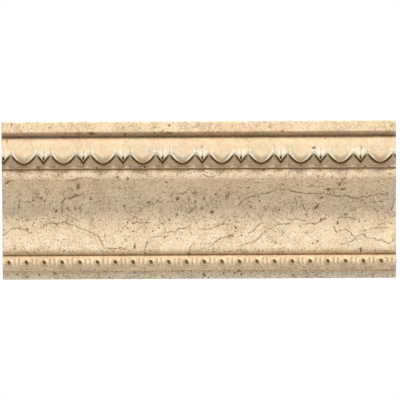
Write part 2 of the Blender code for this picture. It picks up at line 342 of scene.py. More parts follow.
@dataclass
class EggAndDart:
    """Ovolo carved with eggs and darts, and the shaded ground behind them."""

    top: float = 109.45
    top_depth: float = 46.2
    crown: float = 100.5
    crown_depth: float = 47.4
    ovolo_power: float = 2.2
    pitch: float = 30.7
    first_egg: float = 16.6
    egg_tip: float = 89.4
    egg_half_width: float = 9.9
    egg_power: float = 1.75
    peak: float = 97.0
    peak_blend: float = 0.6
    dart_tip: float = 90.2
    dart_nose: float = 0.12
    dart_power: float = 0.85
    tip_depth: float = 42.2
    peak_depth: float = 45.6
    tip_rounding: float = 5.6
    side_rounding: float = 2.6
    rounding_power: float = 2.1
    relief_top: float = 103.5
    rim_inset: float = 0.72
    rim_width: float = 0.46
    rim_height: float = 0.9
    hollow_inset: float = 2.3
    hollow_width: float = 0.9
    hollow_depth: float = 0.15
    groove_shift: float = 0.25
    groove_width: float = 0.75
    groove_depth: float = 0.45
    dart_rim_inset: float = 0.95
    dart_rim_width: float = 0.5
    dart_rim_height: float = 0.45
    ridge_place: float = 1.5
    ridge_width: float = 0.65
    ridge_height: float = 0.4
    ridge_foot: float = 92.0
    middle_width: float = 0.5
    middle_depth: float = 0.45
    pit_height: float = 93.6
    pit_half_width: float = 0.8
    pit_half_height: float = 1.3
    pit_depth: float = 1.9
    undercut: float = 0.6
    cut_width: float = 1.5
    cut_depth: float = 1.3
    ground_top_depth: float = 44.4
    ground_foot_depth: float = 39.75
    ground_foot: float = 87.6
    ground_power: float = 1.5
    straight_foot: float = 101.5
    straight_rows: int = 16
    edge_rows: int = 22
    ground_rows: int = 9
    shaded_rows: int = 9
    columns: tuple[int, ...] = (20, 24, 20)
    swell: float = 0.06
    swell_length: float = 19.0
    speckle: float = 0.3
    # Slight even darkening of the whole carved face.
    face_darkening: float = 0.035
    drift: Pairs = (
        (-152.5, 0.0), (-146.0, 0.45), (-105.0, 0.48), (-44.0, 0.5), (-20.0, 0.32), (8.0, 0.33), (24.0, 0.0),
        (33.0, -0.45), (48.0, -0.12), (64.0, -0.33), (79.0, -0.25), (94.0, -0.35), (125.0, -0.22),
        (146.0, -0.2), (152.5, 0.0),
    )

    @property
    def start(self) -> float:
        """Place along X of the first egg's centre line."""
        return -HALF_LENGTH + self.first_egg

    def offset(self, x: Array) -> Array:
        """Distance along X from the nearest egg's centre line.

        Args:
            x: Places along the length.

        Returns:
            Distances from 0 to half the pitch.
        """
        return np.abs((x - self.start + self.pitch / 2) % self.pitch - self.pitch / 2)

    def edge(self, offset: Array) -> Array:
        """Height of the lower edge: a soft minimum of the egg's curve and the dart's.

        The egg rises as a power of the offset, the dart as a power of the distance from its own centre line.

        Args:
            offset: Distance from the egg's centre line.

        Returns:
            Heights.
        """
        rise = (np.abs(offset) / self.egg_half_width) ** self.egg_power
        egg = self.egg_tip + (self.peak - self.egg_tip) * rise
        from_dart = np.hypot(self.pitch / 2 - offset, self.dart_nose) - self.dart_nose
        share = from_dart / (self.pitch / 2 - self.egg_half_width)
        dart = self.dart_tip + (self.peak - self.dart_tip) * share**self.dart_power
        blend = self.peak_blend
        both = np.exp(-(egg - self.peak) / blend) + np.exp(-(dart - self.peak) / blend)
        return -blend * np.log(both) + self.peak

    def ovolo(self, height: Array) -> Array:
        """Depth of the ovolo before it is carved: crown depth less a power of the rise above the crown.

        Args:
            height: Heights.

        Returns:
            Depths.
        """
        rise = np.maximum(height - self.crown, 0.0) / (self.top - self.crown)
        return self.crown_depth - (self.crown_depth - self.top_depth) * rise**self.ovolo_power

    def ground(self, height: Array) -> Array:
        """Depth of the hollow ground: foot depth plus a power of the rise above its foot.

        Args:
            height: Heights.

        Returns:
            Depths.
        """
        rise = np.maximum(height - self.ground_foot, 0.0) / (self.peak - self.ground_foot)
        fall = self.ground_top_depth - self.ground_foot_depth
        return self.ground_foot_depth + fall * rise**self.ground_power

    def distance(self, offset: Array, height: Array, curve: Array) -> Array:
        """Shortest distance to a curve given by its points.

        Args:
            offset: Offsets of the places asked about.
            height: Their heights.
            curve: Points of the curve, as rows of offset and height.

        Returns:
            Distances, in the shape of offset.
        """
        result = np.full(offset.shape, np.inf)
        for point in curve:
            np.minimum(result, np.hypot(offset - point[0], height - point[1]), out=result)
        return result

    def outline(self) -> Array:
        """Points along the whole lower edge, past both ends of half a unit.

        Returns:
            Rows of offset and height.
        """
        offsets = np.linspace(-3.0, self.pitch / 2 + 3.0, 260)
        folded = self.offset(offsets + self.start)
        return np.column_stack((offsets, self.edge(folded)))

    def side_line(self, is_egg: bool) -> Array:
        """Points up one side of an egg or a dart, going on upright above the peak.

        Args:
            is_egg: True for the egg's side, False for the dart's.

        Returns:
            Rows of offset and height.
        """
        upright = np.linspace(self.peak - 0.4, self.relief_top, 24)
        if is_egg:
            offsets = np.linspace(-2.0, self.egg_half_width - 0.3, 60)
            side = self.egg_half_width - 0.1
        else:
            offsets = np.linspace(self.egg_half_width + 0.7, self.pitch / 2, 40)
            side = self.egg_half_width + 0.6
        curved = np.column_stack((offsets, self.edge(np.abs(offsets))))
        return np.vstack((curved, np.column_stack((np.full_like(upright, side), upright))))

    def carve(self, offset: Array, height: Array, right: Array) -> tuple[Array, Array, Array]:
        """Depth, dirt with painted shade, and wear with painted highlight of the carved face.

        The face curls back towards its edge by a power of the distance from it. A raised rim follows each egg
        and each dart, with a groove between them, and the dart has two ridges, a middle groove and a pit.

        Args:
            offset: Distance from the egg's centre line.
            height: Heights.
            right: 1 right of the egg's centre line, 0 left of it; the rims on the right get a stronger
                painted highlight, toward the light.

        Returns:
            Arrays of depth, patina and wear.
        """
        edge = self.edge(offset)
        from_edge = self.distance(offset, height, self.outline())
        from_edge = np.where(height >= edge - 1e-6, from_edge, 0.0)
        from_egg = self.distance(offset, height, self.side_line(True))
        from_dart = self.distance(offset, height, self.side_line(False))
        in_egg = smooth_step((self.egg_half_width + 0.2 - offset) / 0.6)
        along_dart = self.pitch / 2 - offset
        fade = smooth_step((self.relief_top - height) / (self.relief_top - self.peak - 1.5))
        late = smooth_step((self.relief_top - 3.0 - height) / 4.0)

        curl = smooth_step(offset / self.egg_half_width)
        rounding = self.tip_rounding + (self.side_rounding - self.tip_rounding) * curl
        inward = 1.0 - np.minimum(from_edge / rounding, 1.0)
        share = np.clip((edge - self.egg_tip) / (self.peak - self.egg_tip), 0.0, 1.0)
        edge_depth = self.tip_depth + (self.peak_depth - self.tip_depth) * share
        depth = edge_depth + (self.ovolo(height) - edge_depth) * (1.0 - inward**self.rounding_power)

        groove = bump(offset - self.egg_half_width - self.groove_shift, self.groove_width) * fade
        narrow = 1.0 - 0.55 * smooth_step((height - self.peak + 0.5) / 4.5)
        rim_width = (self.rim_width + (0.3 + 0.25 * right) * share) * narrow
        egg_rim = bump(from_egg - self.rim_inset - 0.3 * share, rim_width) * in_egg * fade
        hollow = bump(from_egg - self.hollow_inset, self.hollow_width) * in_egg * fade
        low = smooth_step((self.peak + 1.6 - height) / 2.4)
        dart_rim = bump(from_dart - self.dart_rim_inset, self.dart_rim_width) * (1.0 - in_egg)
        dart_rim = dart_rim * fade * (0.15 + 0.85 * low)
        ridge = bump(along_dart - self.ridge_place, self.ridge_width) * fade
        ridge = ridge * smooth_step((height - self.ridge_foot) / 2.0)
        middle = bump(along_dart, self.middle_width) * late
        pit = plateau(along_dart, self.pit_half_width)
        pit = pit * plateau(height - self.pit_height, self.pit_half_height)

        depth += self.rim_height * egg_rim + self.dart_rim_height * dart_rim + self.ridge_height * ridge
        depth -= (
            self.groove_depth * groove
            + self.hollow_depth * hollow
            + self.middle_depth * middle
            + self.pit_depth * pit
        )

        # Painted shade: a dark line along the cut edge, fading toward the peaks, a darkening inside each
        # egg's downturned tip, and dark in the dart's pit and middle groove; the last term darkens the whole
        # face slightly and evenly.
        near_edge = bump(from_edge, 0.44) * (1.0 - 0.8 * self.near_peak(edge))
        tip = smooth_step(1.0 - offset / 6.5) * bump(from_edge - 1.6, 1.7)
        patina = np.clip(near_edge * 0.98 + 0.34 * tip + 0.8 * pit + 0.25 * middle + self.face_darkening, 0.0, 1.0)
        # Painted highlights mixed with wear: pale near the peaks, along the egg rims, more on their right
        # side toward the light, and on the dart rims and ridges, less near the egg tips.
        low_dart = smooth_step((height - 92.3) / 3.0)
        zone = smooth_step((offset - 6.8) / 3.0) * smooth_step((101.2 - height) / 4.0) * low_dart
        low_egg = 0.5 + 0.5 * smooth_step((height - 90.0) / 3.5)
        worn_and_lit = (0.95 + 0.35 * right) * egg_rim * fade * low_egg
        cap = bump(from_edge - 1.1, 0.9) * self.near_peak(edge)
        wear = 0.42 * zone + 0.45 * cap + worn_and_lit + (0.55 * dart_rim + 0.35 * ridge) * low_dart
        return depth, patina, np.clip(wear, 0.0, 1.0) * (1.0 - 0.6 * tip)

    def near_peak(self, edge: Array) -> Array:
        """How near a place of the lower edge is to a peak, where the cut line fades out.

        Args:
            edge: Heights of the edge.

        Returns:
            Values from 0 to 1.
        """
        return smooth_step((edge - self.peak + 2.3) / 1.9)

    def build(self) -> Band:
        """Make the band from the top of the ovolo down to the foot of the ground.

        Returns:
            The band.
        """
        half = self.pitch / 2 - self.egg_half_width
        stops = (0.0, self.egg_half_width, self.egg_half_width + 2 * half, self.pitch)
        xs = unit_columns(self.pitch, self.start, stops, self.columns)
        offset = self.offset(xs)
        edge = self.edge(offset)
        straight = np.linspace(0.0, 1.0, self.straight_rows + 1)[:, None]
        upper = self.top + (self.straight_foot - self.top) * straight + 0.0 * xs
        share = np.sin(np.linspace(0.0, math.pi / 2, self.edge_rows + 1))[1:, None]
        lower = self.straight_foot + (edge - self.straight_foot) * share
        face_height = np.vstack((upper, lower))
        spread = np.broadcast_to(offset, face_height.shape)
        right = ((xs - self.start) % self.pitch < self.pitch / 2).astype(float)
        depth, patina, wear = self.carve(spread, face_height, right)
        depth[0] = self.top_depth
        shade = 0.45 * np.exp(-np.linspace(0.0, 2.6, self.shaded_rows)[:, None])
        patina[: self.shaded_rows] = np.maximum(patina[: self.shaded_rows], shade)

        shallow = self.near_peak(edge)
        cut_top = (edge + self.undercut * (1.0 - shallow))[None, :]
        cut_depth = self.ground(cut_top) - self.cut_depth * (1.0 - 0.9 * shallow)
        ground_top = edge - self.cut_width * (1.0 - 0.4 * shallow)
        run = np.linspace(0.0, 1.0, self.ground_rows + 1)[:, None]
        ground_height = ground_top + (self.ground_foot - ground_top) * run**1.3
        ground_depth = self.ground(ground_height)
        below = edge - ground_height
        # Painted shade on the hollow ground behind the eggs and a dark line under the cut edge; toward the
        # ground's foot the shade stays only under the darts, where the eggs cast no shadow.
        near_ground_foot = smooth_step((89.9 - ground_height) / 2.4)
        open_ground = smooth_step((offset - 5.0) / 5.0)
        ground_dirt_and_shade = 0.28 - (0.28 - 0.21 * open_ground) * near_ground_foot
        ground_dirt_and_shade = ground_dirt_and_shade + 1.1 * bump(below, 1.6) * (1.0 - 0.9 * shallow)

        # The row at the cut gets full painted shade, less near the peaks.
        band = Band(
            x=np.broadcast_to(drifted(xs, self.drift), (len(face_height) + 1 + len(run), len(xs))).copy(),
            depth=np.vstack((depth, cut_depth, ground_depth)),
            height=np.vstack((face_height, cut_top, ground_height)),
            patina=np.vstack((patina, 1.0 - 0.6 * shallow[None, :], np.clip(ground_dirt_and_shade, 0.0, 1.0))),
            wear=np.vstack((wear, np.zeros_like(cut_top), np.zeros_like(ground_height))),
            speckle=self.speckle,
        )
        band.wear *= 0.72 + 0.28 * smooth_step((band.x + 75.0) / 60.0)
        band.sway(self.swell, self.swell_length, 11)
        band.soften_ends()
        return band


@dataclass
class Cove:
    """Lip, fillet and wide cove, with the roll under it."""

    lip_top: float = 87.25
    lip_depth: float = 40.05
    lip_foot: float = 85.6
    fillet_depth: float = 39.0
    fillet_top: float = 85.1
    fillet_foot: float = 80.6
    top_depth: float = 35.9
    top: float = 75.7
    foot_depth: float = 17.5
    foot: float = 34.0
    roll_top: float = 24.6
    roll_depth: float = 3.0
    roll_height: float = 5.2
    quirk_foot: float = 18.25
    column_spacing: float = 1.0
    swell: float = 0.09
    swell_length: float = 34.0
    ripple: float = 0.025
    ripple_length: float = 9.0
    speckle: float = 1.25

    def build(self) -> Band:
        """Make the band from the lip under the eggs down to the quirk over the beads.

        Returns:
            The band.
        """
        lip_middle = (self.lip_top + self.lip_foot) / 2
        # Under the lip and down the top of the fillet the dirt values are painted shade: a dark line under
        # the lip fading down the fillet.
        points = [
            (self.lip_depth - 0.2, self.lip_top, 0.05, 0.0),
            (self.lip_depth - 0.05, self.lip_top - 0.3, 0.04, 0.0),
            (self.lip_depth, lip_middle, 0.06, 0.0),
            (self.lip_depth - 0.1, self.lip_foot + 0.25, 0.3, 0.0),
            (self.lip_depth - 0.4, self.lip_foot + 0.05, 0.6, 0.0),
            (self.fillet_depth - 0.15, self.fillet_top + 0.1, 0.86, 0.0),
            (self.fillet_depth, self.fillet_top - 0.7, 0.36, 0.0),
            (self.fillet_depth, self.fillet_top - 1.7, 0.1, 0.0),
            (self.fillet_depth, self.fillet_top - 2.9, 0.03, 0.0),
            (self.fillet_depth, self.fillet_foot + 0.6, 0.0, 0.0),
        ]
        first = polyline(points, 0.8)
        radii = (self.fillet_depth - self.top_depth, self.fillet_foot - self.top)
        corner = elliptic((self.top_depth, self.fillet_foot), radii, 0, -90, 8)
        radii = (self.top_depth - self.foot_depth, self.top - self.foot)
        hollow = elliptic((self.top_depth, self.foot), radii, 90, 180, 46)
        upright = (np.full(9, self.foot_depth), np.linspace(self.foot, self.roll_top, 10)[1:])
        inner_depth = self.foot_depth - self.roll_depth
        roll = elliptic((inner_depth, self.roll_top), (self.roll_depth, self.roll_height), 0, -82, 9)
        # Painted shade in the quirk over the beads.
        quirk = polyline(
            [
                (inner_depth - 0.05, 19.0, 0.5, 0.0),
                (inner_depth - 0.1, 18.6, 0.6, 0.0),
                (inner_depth, self.quirk_foot, 0.6, 0.0),
            ],
            0.5,
        )
        depth = np.concatenate((corner[0], hollow[0][1:], upright[0], roll[0][1:]))
        height = np.concatenate((corner[1], hollow[1][1:], upright[1], roll[1][1:]))
        # Painted shade: darker toward the roll's underside and toward the top of the cove under the fillet,
        # with two faint darker bands.
        patina = 0.125 * smooth_step((23.6 - height) / 3.8) + 0.06 * smooth_step((height - 60.0) / 14.0)
        patina = patina + 0.045 * bump(height - 40.0, 7.0) + 0.03 * bump(height - 71.5, 4.0)
        curved = (depth, height, patina, np.zeros_like(height))
        lines = (np.concatenate(parts) for parts in zip(first, curved, quirk))
        band = profile_band(plain_columns(self.column_spacing), *lines)
        # Painted shade on the lip under the darts, where light reaches between the eggs.
        beside_eggs = smooth_step((EggAndDart().offset(band.x) - 5.0) / 5.0)
        on_lip = smooth_step((band.height - self.lip_foot) / 0.6)
        band.patina += 0.07 * (beside_eggs * on_lip)
        open_face = smooth_step((82.0 - band.height) / 4.0) * smooth_step((band.height - 20.0) / 3.0)
        band.sway(self.swell, self.swell_length, 21, open_face)
        band.sway(self.ripple, self.ripple_length, 22, open_face)
        band.speckle = self.speckle
        band.soften_ends()
        return band


@dataclass
class BeadAndReel:
    """Half-round astragal carved with drilled beads between upright reels."""

    centre: float = 13.2
    half_height: float = 4.5
    base_depth: float = 15.8
    bulge: float = 4.6
    lower_base: float = 16.7
    lower_power: float = 0.75
    pitch: float = 13.727
    first_bead: float = 4.65
    cell: float = 3.3
    pattern_half_height: float = 3.65
    boss: float = 3.1
    boss_shift: float = 0.5
    dome_height: float = 0.9
    dome_sink: float = 0.3
    ditch_width: float = 0.35
    ditch_depth: float = 0.4
    hole_right: float = 0.85
    hole_down: float = 0.2
    hole_length: float = 1.75
    hole_width: float = 1.3
    hole_turn: float = 24.0
    hole_depth: float = 1.2
    groove: float = 5.2
    groove_half_width: float = 0.78
    groove_floor: float = 0.62
    groove_depth: float = 1.0
    pattern_rows: int = 17
    columns: tuple[int, ...] = (8, 3, 2, 2, 5, 2, 2, 3, 8)
    swell: float = 0.04
    swell_length: float = 11.0
    speckle: float = 0.6
    drift: Pairs = (
        (-152.5, 0.0), (-147.0, -0.6), (-134.0, -0.7), (-100.0, -0.55), (-60.0, -0.4), (-15.0, -0.2),
        (20.0, -0.2), (45.0, -0.5), (60.0, -0.6), (115.0, -0.5), (140.0, -0.25), (152.5, 0.0),
    )

    def plain(self, height: Array) -> Array:
        """Depth of the astragal before it is carved: a half ellipse, leaner in its lower half.

        The bulge is a power of 1 less the square of the share of the half height: the power is a half in the
        upper half, as in an ellipse, and more in the lower one.

        Args:
            height: Heights.

        Returns:
            Depths.
        """
        share = np.clip(np.abs(height - self.centre) / self.half_height, 0.0, 1.0)
        base = np.where(height < self.centre, self.lower_base, self.base_depth)
        crown = self.base_depth + self.bulge
        power = np.where(height < self.centre, self.lower_power, 0.5)
        return base + (crown - base) * (1.0 - share**2) ** power

    def round_cells(self, across: Array, up: Array) -> tuple[Array, Array]:
        """Bend the square rings of grid lines around a bead into circles.

        A ring at a share r of the cell is a circle while r is small and meets the square border at r of 1.

        Args:
            across: Place within the cell along X, from -1 to 1.
            up: Place within the cell along Z, from -1 to 1.

        Returns:
            The bent places.
        """
        ring = np.maximum(np.abs(across), np.abs(up))
        length = np.hypot(across, up)
        scale = np.where(length > 1e-9, ring / np.maximum(length, 1e-9), 1.0)
        square = smooth_step((ring - 0.72) / 0.28)
        factor = scale + (1.0 - scale) * square
        return across * factor, up * factor

    def carve(self, across: Array, up: Array, beside: Array) -> tuple[Array, Array, Array]:
        """How far the carving stands out, with its dirt and painted shade, and its wear and painted
        highlight.

        Args:
            across: Distance along X from the nearest bead's centre.
            up: Height above the middle of the astragal.
            beside: Size of the same distance.

        Returns:
            Arrays of how far it stands out, patina and wear.
        """
        radius = np.hypot(across - self.boss_shift, up)
        dome = np.sqrt(np.clip(1.0 - (radius / self.boss) ** 2, 0.0, 1.0))
        ditch = bump(radius - self.boss - 0.1, self.ditch_width) * smooth_step((3.9 - np.abs(up)) / 0.8)
        inside = smooth_step((self.boss - radius) / 0.3)
        raised = inside * (self.dome_height * dome - self.dome_sink) - self.ditch_depth * ditch
        turn = math.radians(self.hole_turn)
        right, above = across - self.hole_right, up + self.hole_down
        along = right * math.sin(turn) - above * math.cos(turn)
        aside = right * math.cos(turn) + above * math.sin(turn)
        from_hole = np.hypot(along / self.hole_length, aside / self.hole_width)
        hole = smooth_step((1.35 - from_hole) / 0.7)
        raised -= (self.hole_depth + 0.5 * dome) * hole
        # Painted shade on each bead's lower left, away from the light.
        shade_crescent = smooth_step((0.9 - right - 0.5 * above) / 1.6) * bump(from_hole - 1.5, 0.8) * inside

        reach = smooth_step((3.1 - np.abs(up - 0.1)) / 1.1)
        first = plateau(beside - self.groove, self.groove_floor)
        second = plateau(beside - (self.pitch - self.groove), self.groove_floor)
        grooves = np.clip(first + second, 0.0, 1.0) * reach
        raised -= self.groove_depth * grooves
        # Painted shade: dark in the drilled holes, in the ditch under each bead, in the grooves and on the
        # beads' lower left; the astragal's painted shade is added.
        patina = hole * 0.765 + 0.2 * ditch * (up < 0.6) + 0.26 * grooves + 0.26 * shade_crescent + self.dirt_and_shade_level(up)
        bars = plateau(beside - 6.86, 0.7) + plateau(beside - 3.85, 0.55)
        # Painted highlight on each bead's upper right, toward the light, and a little on the reels, fading
        # over the lower half.
        sunny = bump(radius - 2.1, 0.8) * smooth_step((right + 0.4 * above + 0.4) / 1.2)
        wear = np.clip(0.22 * inside * (1.0 - hole) * sunny + 0.08 * bars * reach, 0.0, 1.0)
        return raised, np.clip(patina, 0.0, 1.0), wear * smooth_step((up + 2.5) / 3.0)

    def dirt_and_shade_level(self, up: Array) -> Array:
        """Painted shade on the astragal: darker at its top under the roll and over its lower half, lightest
        across its middle.

        Args:
            up: Height above its middle.

        Returns:
            Amount of painted shade.
        """
        shade_and_dirt = 0.22 - 0.18 * smooth_step((2.9 - up) / 3.2) + 0.12 * bump(up + 3.2, 1.1)
        return shade_and_dirt + 0.09 * bump(up + 4.1, 0.6) + 0.07 * bump(up - 4.2, 0.8)

    def build(self) -> Band:
        """Make the band of the whole astragal.

        Returns:
            The band.
        """
        start = -HALF_LENGTH + self.first_bead
        low = self.groove - self.groove_half_width
        high = self.groove + self.groove_half_width
        stops = (
            0.0, self.cell, low, self.groove, high, self.pitch - high, self.pitch - self.groove,
            self.pitch - low, self.pitch - self.cell, self.pitch,
        )
        xs = unit_columns(self.pitch, start, stops, self.columns)
        flank = self.half_height * np.sin(np.radians([90.0, 76.0, 62.0]))
        inner = np.linspace(self.pattern_half_height, -self.pattern_half_height, self.pattern_rows)
        up = np.concatenate((flank, inner, -flank[::-1]))[:, None] + 0.0 * xs
        x = np.broadcast_to(xs, up.shape).copy()
        nearest = np.round((x - start) / self.pitch)
        whole = np.abs(start + nearest * self.pitch) + self.cell < HALF_LENGTH - 1.0
        across = x - start - nearest * self.pitch
        in_pattern = np.abs(up) <= self.pattern_half_height + 1e-6
        in_cell = (np.abs(across) <= self.cell + 1e-6) & in_pattern & whole
        bent_x, bent_up = self.round_cells(across / self.cell, up / self.pattern_half_height)
        x = np.where(in_cell, x - across + bent_x * self.cell, x)
        across = np.where(in_cell, bent_x * self.cell, across)
        up = np.where(in_cell, bent_up * self.pattern_half_height, up)
        raised, patina, wear = self.carve(across, up, np.abs(across))
        height = self.centre + up
        rim = smooth_step((self.half_height - np.abs(up)) / 0.6)
        depth = self.plain(height) + raised * rim
        band = Band(drifted(x, self.drift), depth, height, patina, wear, self.speckle)
        # Painted shade on the top row, under the quirk.
        band.patina[0] = 0.2
        band.sway(self.swell, self.swell_length, 31)
        band.soften_ends()
        return band


@dataclass
class Foot:
    """Thin fillet, bottom fascia, underside and back."""

    fillet_depth: float = 16.8
    fillet_top: float = 8.7
    fillet_foot: float = 7.0
    depth: float = 12.5
    column_spacing: float = 1.1
    row_spacing: float = 2.2
    swell: float = 0.06
    swell_length: float = 17.0
    speckle: float = 1.25

    def build(self) -> Band:
        """Make the band from under the beads down to the back of the underside.

        Returns:
            The band.
        """
        points = [
            # The pale values on the fillet are wear with a painted highlight on its face.
            (self.fillet_depth - 0.08, self.fillet_top, 0.0, 0.45),
            (self.fillet_depth, self.fillet_top - 0.3, 0.0, 0.45),
            (self.fillet_depth, self.fillet_foot + 0.3, 0.0, 0.1),
            # Painted shade under the fillet's step.
            (self.fillet_depth - 0.35, self.fillet_foot, 0.15, 0.0),
            (self.depth + 0.1, self.fillet_foot - 0.35, 0.27, 0.0),
            (self.depth, self.fillet_foot - 1.0, 0.13, 0.0),
            # The fascia is paler toward its foot, a painted light from below mixed with wear.
            (self.depth, 4.0, 0.0, 0.15),
            (self.depth, 2.4, 0.0, 0.4),
            (self.depth, 1.0, 0.0, 0.2),
            # Painted shade on the lower arris where it turns under.
            (self.depth - 0.1, 0.3, 0.15, 0.0),
            (self.depth - 0.35, 0.08, 0.2, 0.0),
            (self.depth - 0.8, 0.0, 0.0, 0.0),
            (6.0, 0.0, 0.0, 0.0),
            (0.6, 0.0, 0.0, 0.0),
            (0.0, 0.0, 0.0, 0.0),
        ]
        band = profile_band(plain_columns(self.column_spacing), *polyline(points, self.row_spacing))
        band.sway(self.swell, self.swell_length, 41, (band.height < 8.0) & (band.height > 0.3))
        np.clip(band.depth, 0.0, DEPTH, out=band.depth)
        band.speckle = self.speckle
        band.soften_ends()
        return band


@dataclass(frozen=True)
class Vein:
    """A brown vein that shows on the face.

    Args:
        strength: How dark and wide it is.
        path: Places along it, as (x, height above the foot) in millimetres.
    """

    strength: float
    path: Pairs


@dataclass(frozen=True)
class Spot:
    """A dark pit or smudge on the face.

    Args:
        x: Place along the length, in millimetres.
        height: Height above the foot.
        half_width: Half of its width.
        half_height: Half of its height.
        turn: How far it is turned anticlockwise, in degrees.
        strength: How dark it is.
    """

    x: float
    height: float
    half_width: float
    half_height: float
    turn: float
    strength: float


